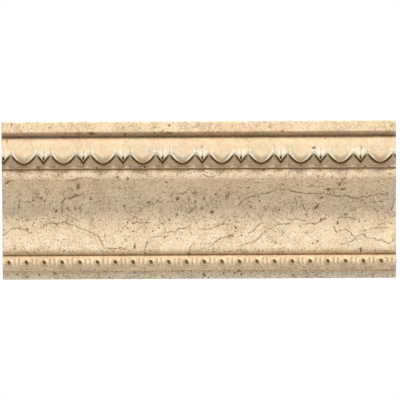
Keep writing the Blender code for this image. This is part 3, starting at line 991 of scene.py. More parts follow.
VEINS: tuple[Vein, ...] = (
    Vein(0.8, ((-153, 33.9), (-149.6, 35.5), (-146.6, 37.6), (-144.5, 39.7), (-141.2, 39.3), (-136.9, 39.7),
         (-134.8, 38.8), (-132.3, 36.7), (-128.5, 36.7))),
    Vein(0.75, ((-122.6, 38.4), (-120.9, 41.7), (-117.6, 43.4), (-113.4, 44.6), (-110.8, 43.3),
         (-107.5, 43.7), (-104.1, 43.7), (-100.7, 42.4), (-96.5, 42.8))),
    Vein(0.65, ((-96.5, 42.8), (-94, 40.7), (-88.1, 39), (-83.1, 36.5), (-78.9, 33.9), (-75.6, 29.7),
         (-73.5, 24.6), (-70.6, 23.4), (-66.3, 24.2), (-61.3, 25), (-57.9, 23.3), (-55.4, 21.6))),
    Vein(0.5, ((-104.1, 48.4), (-102.8, 44.6), (-100.7, 42.4))),
    Vein(0.4, ((-84.8, 43.2), (-81.4, 39.8), (-77.2, 39))),
    Vein(1.0, ((-107, 57.6), (-104.9, 61), (-102.3, 63.5), (-99.8, 62.2), (-97.3, 63.9), (-94.3, 65.1),
         (-90.5, 66), (-88.4, 67.6))),
    Vein(0.9, ((-106.6, 57.6), (-105.3, 54.3), (-106.2, 51.3))),
    Vein(0.5, ((-100.6, 72.7), (-98.1, 68.5), (-95.6, 65.6))),
    Vein(0.8, ((-103.9, 77.8), (-100.6, 76.9), (-97.2, 76.5), (-93.8, 77.8), (-88.8, 78.6), (-82.9, 78.1),
         (-79.5, 76.8), (-75.3, 77.2))),
    Vein(0.6, ((-79.5, 77.7), (-77, 81), (-74.4, 84.4))),
    Vein(0.4, ((-122.4, 83), (-116.5, 81.7), (-110.6, 80.8), (-106.4, 79.9), (-103.9, 77.8))),
    Vein(0.8, ((-138.5, 63.3), (-139.4, 60.3), (-140.2, 56.1), (-141.1, 53.2))),
    Vein(0.9, ((-115, 60.6), (-115.8, 57.7), (-116.2, 56))),
    Vein(0.5, ((-144.4, 64.6), (-141.9, 64.5), (-139.3, 62.8))),
    Vein(0.45, ((-136.8, 60.3), (-132.6, 60.3), (-128.4, 59.8))),
    Vein(0.7, ((-142.2, 84.3), (-141.8, 81.4))),
    Vein(0.6, ((-91.9, 118.6), (-92.6, 115.2))),
    Vein(0.6, ((-58.7, 120.1), (-58.5, 114.6))),
    Vein(0.5, ((-71.7, 118), (-71.4, 115.1))),
    Vein(0.6, ((-53.7, 43), (-49.5, 43.9), (-45.3, 44.3), (-41.1, 43.4), (-36.9, 43.8))),
    Vein(0.7, ((-28.5, 35.8), (-20.1, 37.4), (-14.2, 39.1), (-8.3, 41.1), (-5.3, 42.8))),
    Vein(0.6, ((-6.2, 41.1), (-7.5, 36.1), (-5, 32.7))),
    Vein(0.7, ((-1.6, 39.4), (4.3, 37.3), (10.2, 39.3), (15.3, 41), (17.8, 42.7), (23.7, 41.8),
         (27.1, 43.9))),
    Vein(0.7, ((6.8, 24.6), (10.2, 27.6), (13.5, 28.8), (16.1, 31.7), (18.6, 32.1), (24.5, 32.5),
         (27, 35.1))),
    Vein(0.8, ((29.5, 24.1), (33.7, 26.6), (38.8, 28.7), (43, 27), (45.5, 31.6), (51, 35.8))),
    Vein(0.9, ((36.3, 35), (42.2, 36.2), (44.3, 40), (47.3, 42.5), (51.1, 43.8))),
    Vein(0.7, ((-39.9, 30.3), (-41.2, 26.1), (-42.9, 21.1))),
    Vein(0.7, ((-4.1, 29.3), (-6.7, 26), (-8.4, 20.5))),
    Vein(0.6, ((-39.9, 31.2), (-33.6, 32.4), (-25.2, 33.2), (-22.6, 34.5))),
    Vein(0.8, ((29.7, 55.2), (33.9, 60.3), (39, 62.8), (43.2, 64), (47.4, 64.8), (51.2, 66.1))),
    Vein(0.6, ((-23.3, 63.1), (-20.8, 65.6), (-16.6, 66.4), (-11.5, 66.4), (-9, 68.9), (-6.4, 71.8))),
    Vein(0.7, ((-9.9, 50.4), (-6.6, 51.2), (-4, 53.7), (-2.3, 57.1))),
    Vein(0.6, ((-41, 54.8), (-37.6, 58.1), (-30.9, 59.8), (-26.7, 61))),
    Vein(0.6, ((2, 81), (8.7, 79.3), (13.8, 80.6))),
    Vein(0.5, ((39, 77.5), (45.8, 78.3))),
    Vein(0.8, ((-31.9, 110.7), (-28.9, 113.6), (-26, 116.5))),
    Vein(0.65, ((48.8, 66.1), (53, 66.5), (56.4, 68.6), (61.5, 69.4), (69.1, 69.3), (71.6, 67.6),
         (76.6, 66.8), (84.2, 66.3), (92.6, 65.4), (101, 64.5), (107.7, 63.7), (118.7, 62.3), (124.6, 62.7),
         (133, 64.4), (141.4, 64.7), (148.1, 66.8))),
    Vein(0.7, ((67.2, 45.8), (74.8, 45.7), (84.1, 44.9))),
    Vein(0.8, ((80.7, 41.5), (89.1, 41.5), (92.5, 44), (95.9, 46.1), (99.2, 44.8))),
    Vein(0.6, ((48.7, 33.3), (53.7, 38.3), (59.7, 41.6), (70.6, 41.6), (72.3, 43.2))),
    Vein(0.8, ((106, 45.6), (109.3, 47.2), (117.7, 47.2), (122.8, 44.7))),
    Vein(0.65, ((103.4, 41.4), (106.7, 35.5), (111.8, 38.4), (116, 35.4), (120.2, 31.2), (126.1, 34.5),
         (130.3, 31.1), (137, 30.3), (143.7, 27.7), (149.6, 26))),
    Vein(0.7, ((106.7, 27.1), (113.4, 27.4), (119.3, 28.7), (121.4, 31.2))),
    Vein(0.6, ((131.1, 36.2), (133.7, 38.3), (141.3, 38.7), (148, 39.5))),
    Vein(0.6, ((130.4, 58.9), (137.2, 58.9), (142.2, 59.3))),
    Vein(0.6, ((114.6, 83.4), (112.9, 78.4), (109.5, 74.2), (107.7, 67.4))),
    Vein(0.6, ((91, 77.6), (92.7, 80.6))),
    Vein(0.8, ((106.6, 83.4), (109.1, 80.5))),
    Vein(0.6, ((121.3, 79.2), (123.4, 75.4))),
    Vein(0.5, ((88.2, 24.6), (90.7, 28), (94.1, 31.3))),
    Vein(0.6, ((73.2, 64.3), (74.9, 59.2), (76.1, 55))),
    Vein(0.7, ((79.1, 59.2), (82, 55), (83.3, 50.3))),
    Vein(0.6, ((62.1, 31.5), (64.7, 35.7), (68, 37.4))),
    Vein(0.5, ((76.3, 84.4), (76.7, 79.4))),
    Vein(0.4, ((-87.6, 50.9), (-82.6, 47.8), (-83.8, 42.4), (-79, 39.7))),
    Vein(0.4, ((-62, 45), (-63, 39.2), (-62, 35.3))),
    Vein(0.6, ((150.1, 63.3), (150.8, 57.5), (149.9, 53.6), (151.8, 49.7), (148.8, 45.3))),
    Vein(0.5, ((152.2, 35.1), (149.5, 32.2), (150.5, 28.4), (146.3, 26.6))),
    Vein(0.4, ((63.4, 31.7), (65.4, 36.6), (62.3, 39.5))),
    Vein(0.4, ((72.1, 32.6), (75, 27.3), (79.9, 28.7), (80.8, 24.8))),
)

SPOTS: tuple[Spot, ...] = tuple(
    Spot(*row)
    for row in (
        (-147.9, 75.5, 2.6, 0.8, 35, 0.8), (-93.7, 71.9, 1.2, 2.2, 0, 0.7),
        (-105.7, 53.6, 0.9, 1.1, 0, 0.55), (-101.8, 55.1, 1.0, 1.3, 20, 0.6),
        (-99.8, 53.4, 0.8, 0.6, 0, 0.6), (-96.1, 56.1, 0.7, 0.9, 0, 0.55),
        (-91.7, 56.0, 0.6, 1.0, 0, 0.6), (-92.3, 53.4, 0.8, 0.6, 0, 0.5), (-110.8, 53, 1.3, 1.0, 0, 0.9),
        (-113.2, 48.4, 0.7, 0.7, 0, 0.8), (-128.5, 44.3, 0.7, 0.7, 0, 1),
        (-122.1, 63.2, 1.4, 1.2, 0, 0.5), (-84.2, 62.6, 0.9, 1.1, 0, 0.7),
        (-63.1, 78.9, 1.1, 0.9, 0, 0.8), (-54.7, 77.6, 0.7, 1.3, -20, 0.8),
        (-58.2, 56.4, 1.1, 0.8, 0, 0.7), (-72.6, 33.9, 0.8, 1.9, -15, 0.45),
        (-57.1, 30.4, 1.1, 1.1, 0, 0.45), (-144.1, 119.7, 0.6, 1.1, 0, 0.7),
        (-115.5, 117, 1.2, 0.5, 0, 0.5), (-82.7, 112.9, 2.5, 1.1, 0, 0.75),
        (-92.4, 112.9, 2.1, 0.8, 0, 0.5), (-57, 112.1, 1.2, 1.0, 0, 0.7),
        (-102.9, 113.1, 0.6, 0.6, 0, 0.6), (-112.3, 4.8, 2.6, 1.1, -12, 0.7),
        (-133.8, 2.2, 1.1, 1.3, 0, 0.6), (-140.9, 4.8, 0.8, 0.7, 0, 0.7), (-50.3, 24.9, 0.8, 2.0, 0, 0.9),
        (-151.3, 37.8, 0.7, 0.7, 0, 0.7), (-96.4, 65.6, 0.9, 0.7, 0, 0.6),
        (-148.4, 107.7, 0.5, 1.3, 0, 0.5), (-64.3, 6.1, 0.6, 0.6, 0, 0.8),
        (-104.6, 22.1, 0.8, 0.6, 0, 0.6), (-24.9, 74.9, 0.9, 0.6, 0, 1), (-17, 62.2, 1.3, 1.1, 20, 0.8),
        (-3.1, 66.5, 1.7, 1.4, 0, 0.45), (3.6, 62.5, 0.7, 1.5, 0, 0.8), (12.9, 65, 1.1, 0.9, 0, 0.85),
        (15.8, 68.8, 0.6, 0.6, 0, 1), (22, 64.1, 1.3, 3.3, -30, 0.55), (-3, 59.6, 1.1, 1.1, 0, 0.65),
        (-8.2, 61.3, 0.6, 1.4, 0, 0.7), (2.3, 55, 1.6, 1.4, 0, 0.5), (9.9, 51.7, 1.5, 1.3, 0, 0.8),
        (-17.1, 50, 1.0, 1.3, 0, 0.65), (-39.2, 59.6, 1.4, 0.9, 40, 0.7), (-45.4, 53.5, 0.7, 1.0, 0, 0.6),
        (40.3, 55.6, 0.8, 0.8, 0, 0.8), (38.3, 70.5, 0.5, 0.5, 0, 0.8), (28.3, 39.3, 1.1, 1.0, 0, 0.9),
        (25.2, 33.2, 1.1, 1.0, 0, 0.7), (31, 62.4, 0.8, 0.7, 0, 0.7), (-34, 117.2, 1.4, 0.8, 20, 0.6),
        (-22.9, 118.1, 1.1, 0.9, 0, 0.7), (-34, 113, 1.3, 0.8, 0, 0.6), (-23.5, 112.7, 2.9, 1.1, 0, 0.65),
        (3.7, 3, 1.0, 2.1, 40, 0.8), (29.8, 5.6, 1.0, 0.8, 0, 0.8), (-28, 1.7, 1.3, 1.0, 0, 0.5),
        (2.1, 101.7, 1.0, 1.0, 0, 0.4), (16.5, 31.3, 1.1, 0.8, 0, 0.7), (-28.1, 42.9, 0.6, 0.5, 0, 0.8),
        (-8.4, 19.7, 1.1, 0.8, 0, 0.7), (-42.5, 19.8, 1.1, 0.8, 0, 0.6), (100.4, 68.8, 1.7, 1.2, 0, 0.75),
        (111.3, 68.9, 1.7, 1.0, 0, 0.7), (108.6, 72.8, 1.1, 1.1, 0, 0.7), (95.5, 62.5, 1.3, 0.9, 0, 0.65),
        (91, 55.1, 2.2, 0.8, 45, 0.9), (61.8, 53.7, 0.8, 0.8, 0, 0.9), (83.3, 49.7, 0.8, 0.9, 0, 0.7),
        (138, 52.5, 0.8, 0.8, 0, 0.9), (107.2, 42.5, 0.8, 1.2, 0, 0.9), (94.3, 44.6, 1.0, 1.4, -20, 0.6),
        (82.3, 35.3, 1.9, 0.9, -35, 0.55), (113.5, 49.3, 0.8, 0.6, 0, 0.8),
        (125.5, 21.4, 0.6, 1.9, 0, 0.9), (103.6, 78.4, 0.5, 1.4, 0, 0.7),
        (88.6, 100.9, 1.3, 0.8, 25, 0.75), (55.2, 117.7, 1.3, 0.9, 40, 0.6),
        (125.6, 100.8, 0.5, 1.3, 0, 0.6), (97.7, 108.2, 0.8, 0.5, 0, 0.6),
        (64.7, 113.5, 1.0, 0.8, 0, 0.6), (149.1, 117.7, 1.4, 0.8, 30, 0.5),
        (50.2, 84.2, 1.1, 0.8, 0, 0.8), (139.6, 75.7, 0.4, 1.3, 0, 0.5), (126.4, 60.6, 0.8, 0.8, 0, 0.7),
        (141.4, 59.1, 1.3, 0.5, 0, 0.7), (59.2, 27.3, 0.6, 0.6, 0, 0.9), (86.7, 71.8, 1.7, 0.8, 0, 0.5),
        (64, 72.7, 2.1, 1.0, 0, 0.45), (77.2, 12.7, 0.4, 1.7, 0, 0.2),
    )
)


@dataclass
class Markings:
    """Works out, for each point of the stone, where it lies from the veins and spots of the face.

    Each layer holds veins that keep apart from one another. The distance from a vein changes sign from one
    side of it to the other, so that its line stays sharp between the points of the mesh.

    Args:
        x: Place of each point along the length, in millimetres.
        height: Height of each point above the foot.
        depth: Distance of each point out from the back.
    """

    x: Array
    height: Array
    depth: Array
    layers: int = 3
    reach: float = 3.5
    step: float = 1.2
    wander: float = 0.36
    bend: float = 0.75
    bend_every: int = 4
    end_fade: float = 2.5
    face_depth: float = 3.0
    small_spot: float = 1.0
    far_apart: float = 99.0

    def wandering(self, vein: Vein, seed: int) -> Array:
        """Cut a vein's path into short steps and shake them a little.

        Args:
            vein: The vein.
            seed: Seed of the shaking.

        Returns:
            Rows of x and height.
        """
        path = np.array(vein.path)
        run = np.concatenate(([0.0], np.cumsum(np.hypot(*np.diff(path, axis=0).T))))
        count = max(int(run[-1] / self.step), 2)
        place = np.linspace(0.0, run[-1], count + 1)
        points = np.column_stack([np.interp(place, run, path[:, axis]) for axis in range(2)])
        chance = np.random.default_rng(seed)
        points[1:-1] += chance.normal(0.0, self.wander, (count - 1, 2))
        knots = np.arange(0, count + self.bend_every, self.bend_every)
        bends = chance.uniform(-self.bend, self.bend, (len(knots), 2))
        bends[[0, -1]] = 0.0
        numbers = np.arange(count + 1)
        points += np.column_stack([np.interp(numbers, knots, bends[:, axis]) for axis in range(2)])
        return points

    def room(self, points: Array, others: list[Array]) -> float:
        """Smallest distance between a path and those already in a layer.

        Args:
            points: Rows of x and height along the path.
            others: The same of the others.

        Returns:
            The distance, in millimetres.
        """
        gaps = [np.hypot(*(points[:, None] - other[None]).transpose(2, 0, 1)).min() for other in others]
        return min(gaps, default=self.far_apart)

    def from_path(self, points: Array, x: Array, height: Array) -> tuple[Array, Array]:
        """Signed distance from a path, and how far along it the nearest point lies from either end.

        Args:
            points: Rows of x and height along the path.
            x: Places to measure from.
            height: Their heights.

        Returns:
            Arrays of distances and of lengths.
        """
        first, last = points[:-1], points[1:]
        run = last - first
        length = np.hypot(run[:, 0], run[:, 1])
        before = np.concatenate(([0.0], np.cumsum(length)[:-1]))
        from_first = np.stack((x[:, None] - first[:, 0], height[:, None] - first[:, 1]), axis=-1)
        share = np.clip((from_first * run).sum(axis=-1) / length**2, 0.0, 1.0)
        off = from_first - share[..., None] * run
        distance = np.hypot(off[..., 0], off[..., 1])
        side = np.sign(run[:, 0] * from_first[..., 1] - run[:, 1] * from_first[..., 0])
        nearest = distance.argmin(axis=1)
        rows = np.arange(len(x))
        along = before[nearest] + share[rows, nearest] * length[nearest]
        ends = np.minimum(along, length.sum() - along)
        sign = np.where(side[rows, nearest] < 0.0, -1.0, 1.0)
        return distance[rows, nearest] * sign, ends

    def veins(self) -> list[Array]:
        """Distance from the nearest vein and that vein's strength, for each layer.

        Returns:
            One array a layer, with rows of (distance, strength, 0).
        """
        fields = [np.tile((self.reach, 0.0, 0.0), (len(self.x), 1)) for _ in range(self.layers)]
        placed: list[list[Array]] = [[] for _ in range(self.layers)]
        face = self.depth > self.face_depth
        for seed, vein in enumerate(VEINS):
            points = self.wandering(vein, seed)
            layer = int(np.argmax([self.room(points, others) for others in placed]))
            placed[layer].append(points)
            low, high = points.min(axis=0) - self.reach, points.max(axis=0) + self.reach
            across = (self.x > low[0]) & (self.x < high[0])
            upwards = (self.height > low[1]) & (self.height < high[1])
            near = np.flatnonzero(face & across & upwards)
            distance, ends = self.from_path(points, self.x[near], self.height[near])
            closer = np.abs(distance) < np.abs(fields[layer][near, 0])
            chosen = near[closer]
            fade = smooth_step(ends[closer] / self.end_fade)
            fields[layer][chosen, 0] = distance[closer]
            fields[layer][chosen, 1] = vein.strength * fade
        return fields

    def spots(self) -> Array:
        """Distance from the rim of the nearest spot, negative inside, and that spot's strength.

        A small spot is moved onto the nearest point of the mesh, so that it isn't lost between points.

        Returns:
            Rows of (distance, strength, 0).
        """
        result = np.tile((self.reach, 0.0, 0.0), (len(self.x), 1))
        face = np.flatnonzero(self.depth > self.face_depth)
        x, height = self.x[face], self.height[face]
        for spot in SPOTS:
            across, up = x - spot.x, height - spot.height
            if min(spot.half_width, spot.half_height) < self.small_spot:
                nearest = np.hypot(across, up).argmin()
                across, up = x - x[nearest], height - height[nearest]
            turn = math.radians(spot.turn)
            right = across * math.cos(turn) + up * math.sin(turn)
            above = up * math.cos(turn) - across * math.sin(turn)
            ratio = np.hypot(right / spot.half_width, above / spot.half_height)
            distance = (ratio - 1.0) * min(spot.half_width, spot.half_height)
            closer = (distance < result[face, 0]) & (distance < self.reach)
            result[face[closer], 0] = distance[closer]
            result[face[closer], 1] = spot.strength
        return result


@dataclass
class StoneMesh:
    """Gathers the bands into one closed mesh."""

    points: list[Array] = field(default_factory=list)
    values: dict[str, list[Array]] = field(
        default_factory=lambda: {"patina": [], "wear": [], "speckle": []}
    )
    triangles: list[Array] = field(default_factory=list)
    quads: list[Array] = field(default_factory=list)
    grids: list[Array] = field(default_factory=list)
    count: int = 0
    pit_depth: float = 0.22
    sharp_angle: float = 48.0

    def add(self, band: Band) -> None:
        """Add a band's points and the faces between its rows and columns.

        Args:
            band: The band.
        """
        grid = self.count + np.arange(band.x.size).reshape(band.x.shape)
        places = (band.x.ravel(), -band.depth.ravel(), band.height.ravel() - HEIGHT / 2)
        self.points.append(np.column_stack(places) * MM)
        for name, parts in self.values.items():
            parts.append(np.broadcast_to(getattr(band, name), band.x.shape).ravel())
        corners = (grid[1:, :-1], grid[1:, 1:], grid[:-1, 1:], grid[:-1, :-1])
        self.quads.append(np.stack(corners, axis=-1).reshape(-1, 4))
        self.count += band.x.size
        if self.grids:
            self.seam(self.grids[-1][-1], grid[0])
        self.grids.append(grid)

    def seam(self, upper: Array, lower: Array) -> None:
        """Join two rows whose columns differ, taking whichever row's next point lies further left.

        Args:
            upper: Numbers of the upper row's points, left to right.
            lower: Numbers of the lower row's points.
        """
        points = np.vstack(self.points)
        upper_next = points[upper[1:], 0]
        lower_next = points[lower[1:], 0]
        order = np.argsort(np.concatenate((upper_next, lower_next)), kind="stable")
        from_upper = order < len(upper_next)
        top = np.cumsum(from_upper) - from_upper
        foot = np.cumsum(~from_upper) - ~from_upper
        next_upper = upper[np.minimum(top + 1, len(upper) - 1)]
        next_lower = lower[np.minimum(foot + 1, len(lower) - 1)]
        third = np.where(from_upper, next_upper, next_lower)
        self.triangles.append(np.column_stack((lower[foot], third, upper[top])))

    def close(self) -> bpy.types.Mesh:
        """Close the back and both ends, and make the mesh.

        The sawn ends get no dirt or painted shade, no wear or painted highlight, and no grain or marks.

        Returns:
            The mesh, in metres, with its dirt and painted shade, its wear and painted highlights, speckle,
            spots and veins as attributes.
        """
        self.seam(self.grids[-1][-1], self.grids[0][0])
        left = np.concatenate([grid[:, 0] for grid in self.grids])[::-1]
        right = np.concatenate([grid[:, -1] for grid in self.grids])
        faces = [face.tolist() for face in (*self.quads, *self.triangles)]
        flat = [corner for part in faces for corner in part]
        points = np.vstack(self.points)
        x, depth, height = points[:, 0] / MM, -points[:, 1] / MM, points[:, 2] / MM + HEIGHT / 2
        markings = Markings(x, height, depth)
        spots = markings.spots()
        pit = smooth_step(0.5 - spots[:, 0]) * spots[:, 1]
        points[:, 1] += self.pit_depth * MM * pit
        mesh = bpy.data.meshes.new("cornice_moulding_stone")
        mesh.from_pydata(points.tolist(), [], [*flat, left.tolist(), right.tolist()])
        mesh.update()
        corners = np.empty(len(mesh.loops), dtype=np.int64)
        mesh.loops.foreach_get("vertex_index", corners)
        shown = np.ones(len(corners))
        shown[-len(left) - len(right):] = 0.0
        for name, parts in self.values.items():
            attribute = mesh.attributes.new(name, "FLOAT", "CORNER")
            attribute.data.foreach_set("value", (np.concatenate(parts)[corners] * shown).astype(np.float32))
        for name, rows in zip(("spots", *VEIN_LAYERS), (spots, *markings.veins())):
            attribute = mesh.attributes.new(name, "FLOAT_VECTOR", "CORNER")
            reading = rows[corners] * np.column_stack((np.ones(len(corners)), shown, shown))
            attribute.data.foreach_set("vector", reading.ravel().astype(np.float32))
        mesh.shade_smooth()
        mesh.set_sharp_from_angle(angle=math.radians(self.sharp_angle))
        LOG.info("%d triangles", sum(len(polygon.vertices) - 2 for polygon in mesh.polygons))
        return mesh


class Operation(Enum):
    """What a Math or a Vector Math node works out."""

    ADD = "ADD"
    SUBTRACT = "SUBTRACT"
    MULTIPLY = "MULTIPLY"
    DIVIDE = "DIVIDE"
    MULTIPLY_ADD = "MULTIPLY_ADD"
    MAXIMUM = "MAXIMUM"
    ABSOLUTE = "ABSOLUTE"
    SCALE = "SCALE"


@dataclass
class Wiring:
    """Adds nodes to a material or a node group and joins them up.

    Args:
        tree: The tree of nodes.
    """

    tree: bpy.types.NodeTree

    def node(
        self, kind: str, inputs: dict[str | int, object] | None = None, **settings: object
    ) -> bpy.types.Node:
        """Add one node.

        Args:
            kind: The node's type.
            inputs: Values or sockets for its inputs, by name or number.
            **settings: Properties of the node.

        Returns:
            The node.
        """
        made = self.tree.nodes.new(kind)
        for name, value in settings.items():
            setattr(made, name, value)
        for name, value in (inputs or {}).items():
            self.put(made.inputs[name], value)
        return made

    def put(self, socket: Socket, value: object) -> None:
        """Join a socket to another, or set its value.

        Args:
            socket: The input.
            value: A socket, a number, a colour or a vector.
        """
        if isinstance(value, bpy.types.NodeSocket):
            self.tree.links.new(value, socket)
        else:
            socket.default_value = value

    def sum(
        self, operation: Operation, a: object, b: object = 0.0, c: object = 0.0, clamp: bool = False
    ) -> Socket:
        """Add a Math node.

        Args:
            operation: What it does.
            a: First value.
            b: Second value.
            c: Third value.
            clamp: Whether the result is held between 0 and 1.

        Returns:
            Its output.
        """
        made = self.tree.nodes.new("ShaderNodeMath")
        made.operation = operation.value
        made.use_clamp = clamp
        for socket, value in zip(made.inputs, (a, b, c)):
            self.put(socket, value)
        return made.outputs[0]

    def times(self, *values: object, clamp: bool = False) -> Socket:
        """Multiply values together, from the first to the last.

        Args:
            *values: Sockets or numbers, at least two.
            clamp: Whether the result is held between 0 and 1.

        Returns:
            The product.
        """
        product = values[0]
        for value in values[1:-1]:
            product = self.sum(Operation.MULTIPLY, product, value)
        return self.sum(Operation.MULTIPLY, product, values[-1], clamp=clamp)

    def vector(self, operation: Operation, place: object, by: object) -> Socket:
        """Add a Vector Math node.

        Args:
            operation: ADD, SUBTRACT or SCALE.
            place: The vector to change.
            by: The other vector, or the number to scale by.

        Returns:
            The changed vector.
        """
        second = "Scale" if operation is Operation.SCALE else 1
        return self.node("ShaderNodeVectorMath", {0: place, second: by}, operation=operation.value).outputs[0]

    def attribute(self, name: str, output: str = "Fac") -> Socket:
        """Read what the mesh holds under a name, as a number or, with the output Vector, a vector."""
        return self.node("ShaderNodeAttribute", attribute_name=name).outputs[output]

    def ease(
        self, value: Socket, low: object, high: object, to_low: float = 0.0, to_high: float = 1.0
    ) -> Socket:
        """Add a Map Range node that eases from one value to another.

        Args:
            value: The value to map.
            low: Where the result is to_low.
            high: Where it is to_high.
            to_low: Result at low.
            to_high: Result at high.

        Returns:
            Its output.
        """
        made = self.node(
            "ShaderNodeMapRange",
            {"Value": value, "From Min": low, "From Max": high, "To Min": to_low, "To Max": to_high},
            interpolation_type="SMOOTHSTEP",
        )
        return made.outputs["Result"]

    def blend(self, share: object, first: object, second: object, kind: str = "MIX") -> Socket:
        """Add a colour mix.

        Args:
            share: How much of the second colour.
            first: First colour.
            second: Second colour.
            kind: Blend type.

        Returns:
            The colour.
        """
        made = self.tree.nodes.new("ShaderNodeMix")
        made.data_type = "RGBA"
        made.blend_type = kind
        self.put(made.inputs[0], share)
        self.put(made.inputs[6], first)
        self.put(made.inputs[7], second)
        return made.outputs[2]

    def noise(
        self,
        place: Socket,
        scale: float,
        detail: float,
        roughness: float = 0.55,
        shift: tuple[float, float, float] | None = None,
    ) -> Socket:
        """Add a noise pattern.

        Args:
            place: Where, in millimetres.
            scale: Number of features in a millimetre.
            detail: Number of finer layers.
            roughness: Weight of the finer layers.
            shift: How far the place is moved first, so that two patterns differ.

        Returns:
            Its value, around a half.
        """
        moved = place if shift is None else self.vector(Operation.ADD, place, shift)
        return self.noise_node(moved, scale, detail, roughness).outputs[0]

    def noise_node(self, place: Socket, scale: float, detail: float, roughness: float) -> bpy.types.Node:
        """Add the node of a noise pattern, with the same arguments."""
        inputs = {"Vector": place, "Scale": scale, "Detail": detail, "Roughness": roughness}
        return self.node("ShaderNodeTexNoise", inputs)

    def pushed(
        self, place: Socket, push: object, scale: float, detail: float, roughness: float
    ) -> Socket:
        """Push a place about by a noise pattern, so that what is drawn there wanders.

        Args:
            place: Where, in millimetres.
            push: How far it is pushed where the pattern is strongest.
            scale: Number of features in a millimetre.
            detail: Number of finer layers.
            roughness: Weight of the finer layers.

        Returns:
            The pushed place.
        """
        colour = self.noise_node(place, scale, detail, roughness).outputs[1]
        centred = self.vector(Operation.SUBTRACT, colour, (0.5, 0.5, 0.5))
        return self.vector(Operation.ADD, place, self.vector(Operation.SCALE, centred, push))

    def cells(self, place: Socket, size: Socket, feature: str) -> tuple[Socket, Socket]:
        """Add a pattern of cells of a given size.

        Args:
            place: Where, in millimetres.
            size: Size of a cell, in millimetres.
            feature: What the distance is measured from: F1, a cell's middle, or DISTANCE_TO_EDGE.

        Returns:
            The distance, in millimetres, and with F1 each cell's own colour.
        """
        scale = self.sum(Operation.DIVIDE, 1.0, size)
        made = self.node("ShaderNodeTexVoronoi", {"Vector": place, "Scale": scale}, feature=feature)
        return self.times(made.outputs["Distance"], size), made.outputs[1]


@dataclass
class EffectGroup:
    """A shader node group with named inputs and outputs, built once."""

    name: str
    inputs: dict[str, tuple[str, object]]
    outputs: dict[str, str]
    wiring: Wiring = field(init=False)
    start: bpy.types.Node = field(init=False)
    end: bpy.types.Node = field(init=False)

    def __post_init__(self) -> None:
        """Make the group and its sockets."""
        tree = bpy.data.node_groups.new(self.name, "ShaderNodeTree")
        for name, (kind, value) in self.inputs.items():
            socket = tree.interface.new_socket(name, in_out="INPUT", socket_type=kind)
            if value is not None:
                socket.default_value = value
        for name, kind in self.outputs.items():
            tree.interface.new_socket(name, in_out="OUTPUT", socket_type=kind)
        self.wiring = Wiring(tree)
        self.start = tree.nodes.new("NodeGroupInput")
        self.end = tree.nodes.new("NodeGroupOutput")

    def give(self, name: str, value: Socket) -> None:
        """Join a result to one of the group's outputs.

        Args:
            name: The output's name.
            value: The result.
        """
        self.wiring.put(self.end.inputs[name], value)

    def place(self, wiring: Wiring, **values: object) -> bpy.types.Node:
        """Put the group into a material.

        Args:
            wiring: The material's wiring.
            **values: Inputs by name, with underscores for spaces.

        Returns:
            The group node.
        """
        made = wiring.tree.nodes.new("ShaderNodeGroup")
        made.node_tree = self.wiring.tree
        for name, value in values.items():
            wiring.put(made.inputs[name.replace("_", " ")], value)
        return made


VECTOR, NUMBER, COLOUR = "NodeSocketVector", "NodeSocketFloat", "NodeSocketColor"
VEIN_LAYERS = ("veins_a", "veins_b", "veins_c")


def clouds_group() -> EffectGroup:
    """Soft patches of three tones, with a fine grain.

    Returns:
        The group, with the output Colour.
    """
    group = EffectGroup(
        "stone_clouds",
        {
            "Place": (VECTOR, None),
            "Base": (COLOUR, (0.8, 0.62, 0.42, 1.0)),
            "Pink": (COLOUR, (0.8, 0.58, 0.42, 1.0)),
            "Grey": (COLOUR, (0.7, 0.6, 0.42, 1.0)),
            "Grain": (NUMBER, 1.0),
        },
        {"Colour": COLOUR},
    )
    wiring, given = group.wiring, group.start.outputs
    place = given["Place"]
    pink = wiring.ease(wiring.noise(place, 0.045, 3.0), 0.46, 0.62)
    grey = wiring.ease(wiring.noise(place, 0.05, 4.0, 0.6, shift=(57.0, 13.0, 91.0)), 0.5, 0.68)
    tone = wiring.blend(pink, given["Base"], given["Pink"])
    tone = wiring.blend(grey, tone, given["Grey"])
    smudge = wiring.noise(place, 0.16, 5.0, 0.65, shift=(7.0, 33.0, 5.0))
    smudge = wiring.ease(smudge, 0.3, 0.75, 0.915, 1.065)
    grain = wiring.ease(wiring.noise(place, 0.9, 4.0, 0.85), 0.3, 0.7, -0.21, 0.18)
    grain = wiring.sum(Operation.MULTIPLY_ADD, grain, given["Grain"], 1.0)
    strength = wiring.times(smudge, grain)
    shade = wiring.node("ShaderNodeCombineXYZ", {0: strength, 1: strength, 2: strength}).outputs[0]
    group.give("Colour", wiring.blend(1.0, tone, shade, "MULTIPLY"))
    return group


def hairline_group() -> EffectGroup:
    """Net of thin wandering veins, which shows only in patches.

    Returns:
        The group, with the output Mask.
    """
    group = EffectGroup(
        "hairline_net",
        {
            "Place": (VECTOR, None),
            "Cell": (NUMBER, 20.0),
            "Width": (NUMBER, 0.5),
            "Wander": (NUMBER, 6.0),
            "Cover": (NUMBER, 0.5),
        },
        {"Mask": NUMBER},
    )
    wiring, given = group.wiring, group.start.outputs
    place = given["Place"]
    moved = wiring.pushed(place, given["Wander"], 0.16, 4.0, 0.62)
    distance, _ = wiring.cells(moved, given["Cell"], "DISTANCE_TO_EDGE")
    line = wiring.ease(distance, 0.0, given["Width"], 1.0, 0.0)
    patches = wiring.noise(place, 0.055, 3.0, 0.6, shift=(3.0, 71.0, 29.0))
    shown = wiring.ease(wiring.sum(Operation.SUBTRACT, patches, given["Cover"]), 0.0, 0.08)
    broken = wiring.ease(wiring.noise(place, 0.4, 2.0), 0.38, 0.55, 0.25, 1.0)
    group.give("Mask", wiring.times(line, shown, broken))
    return group


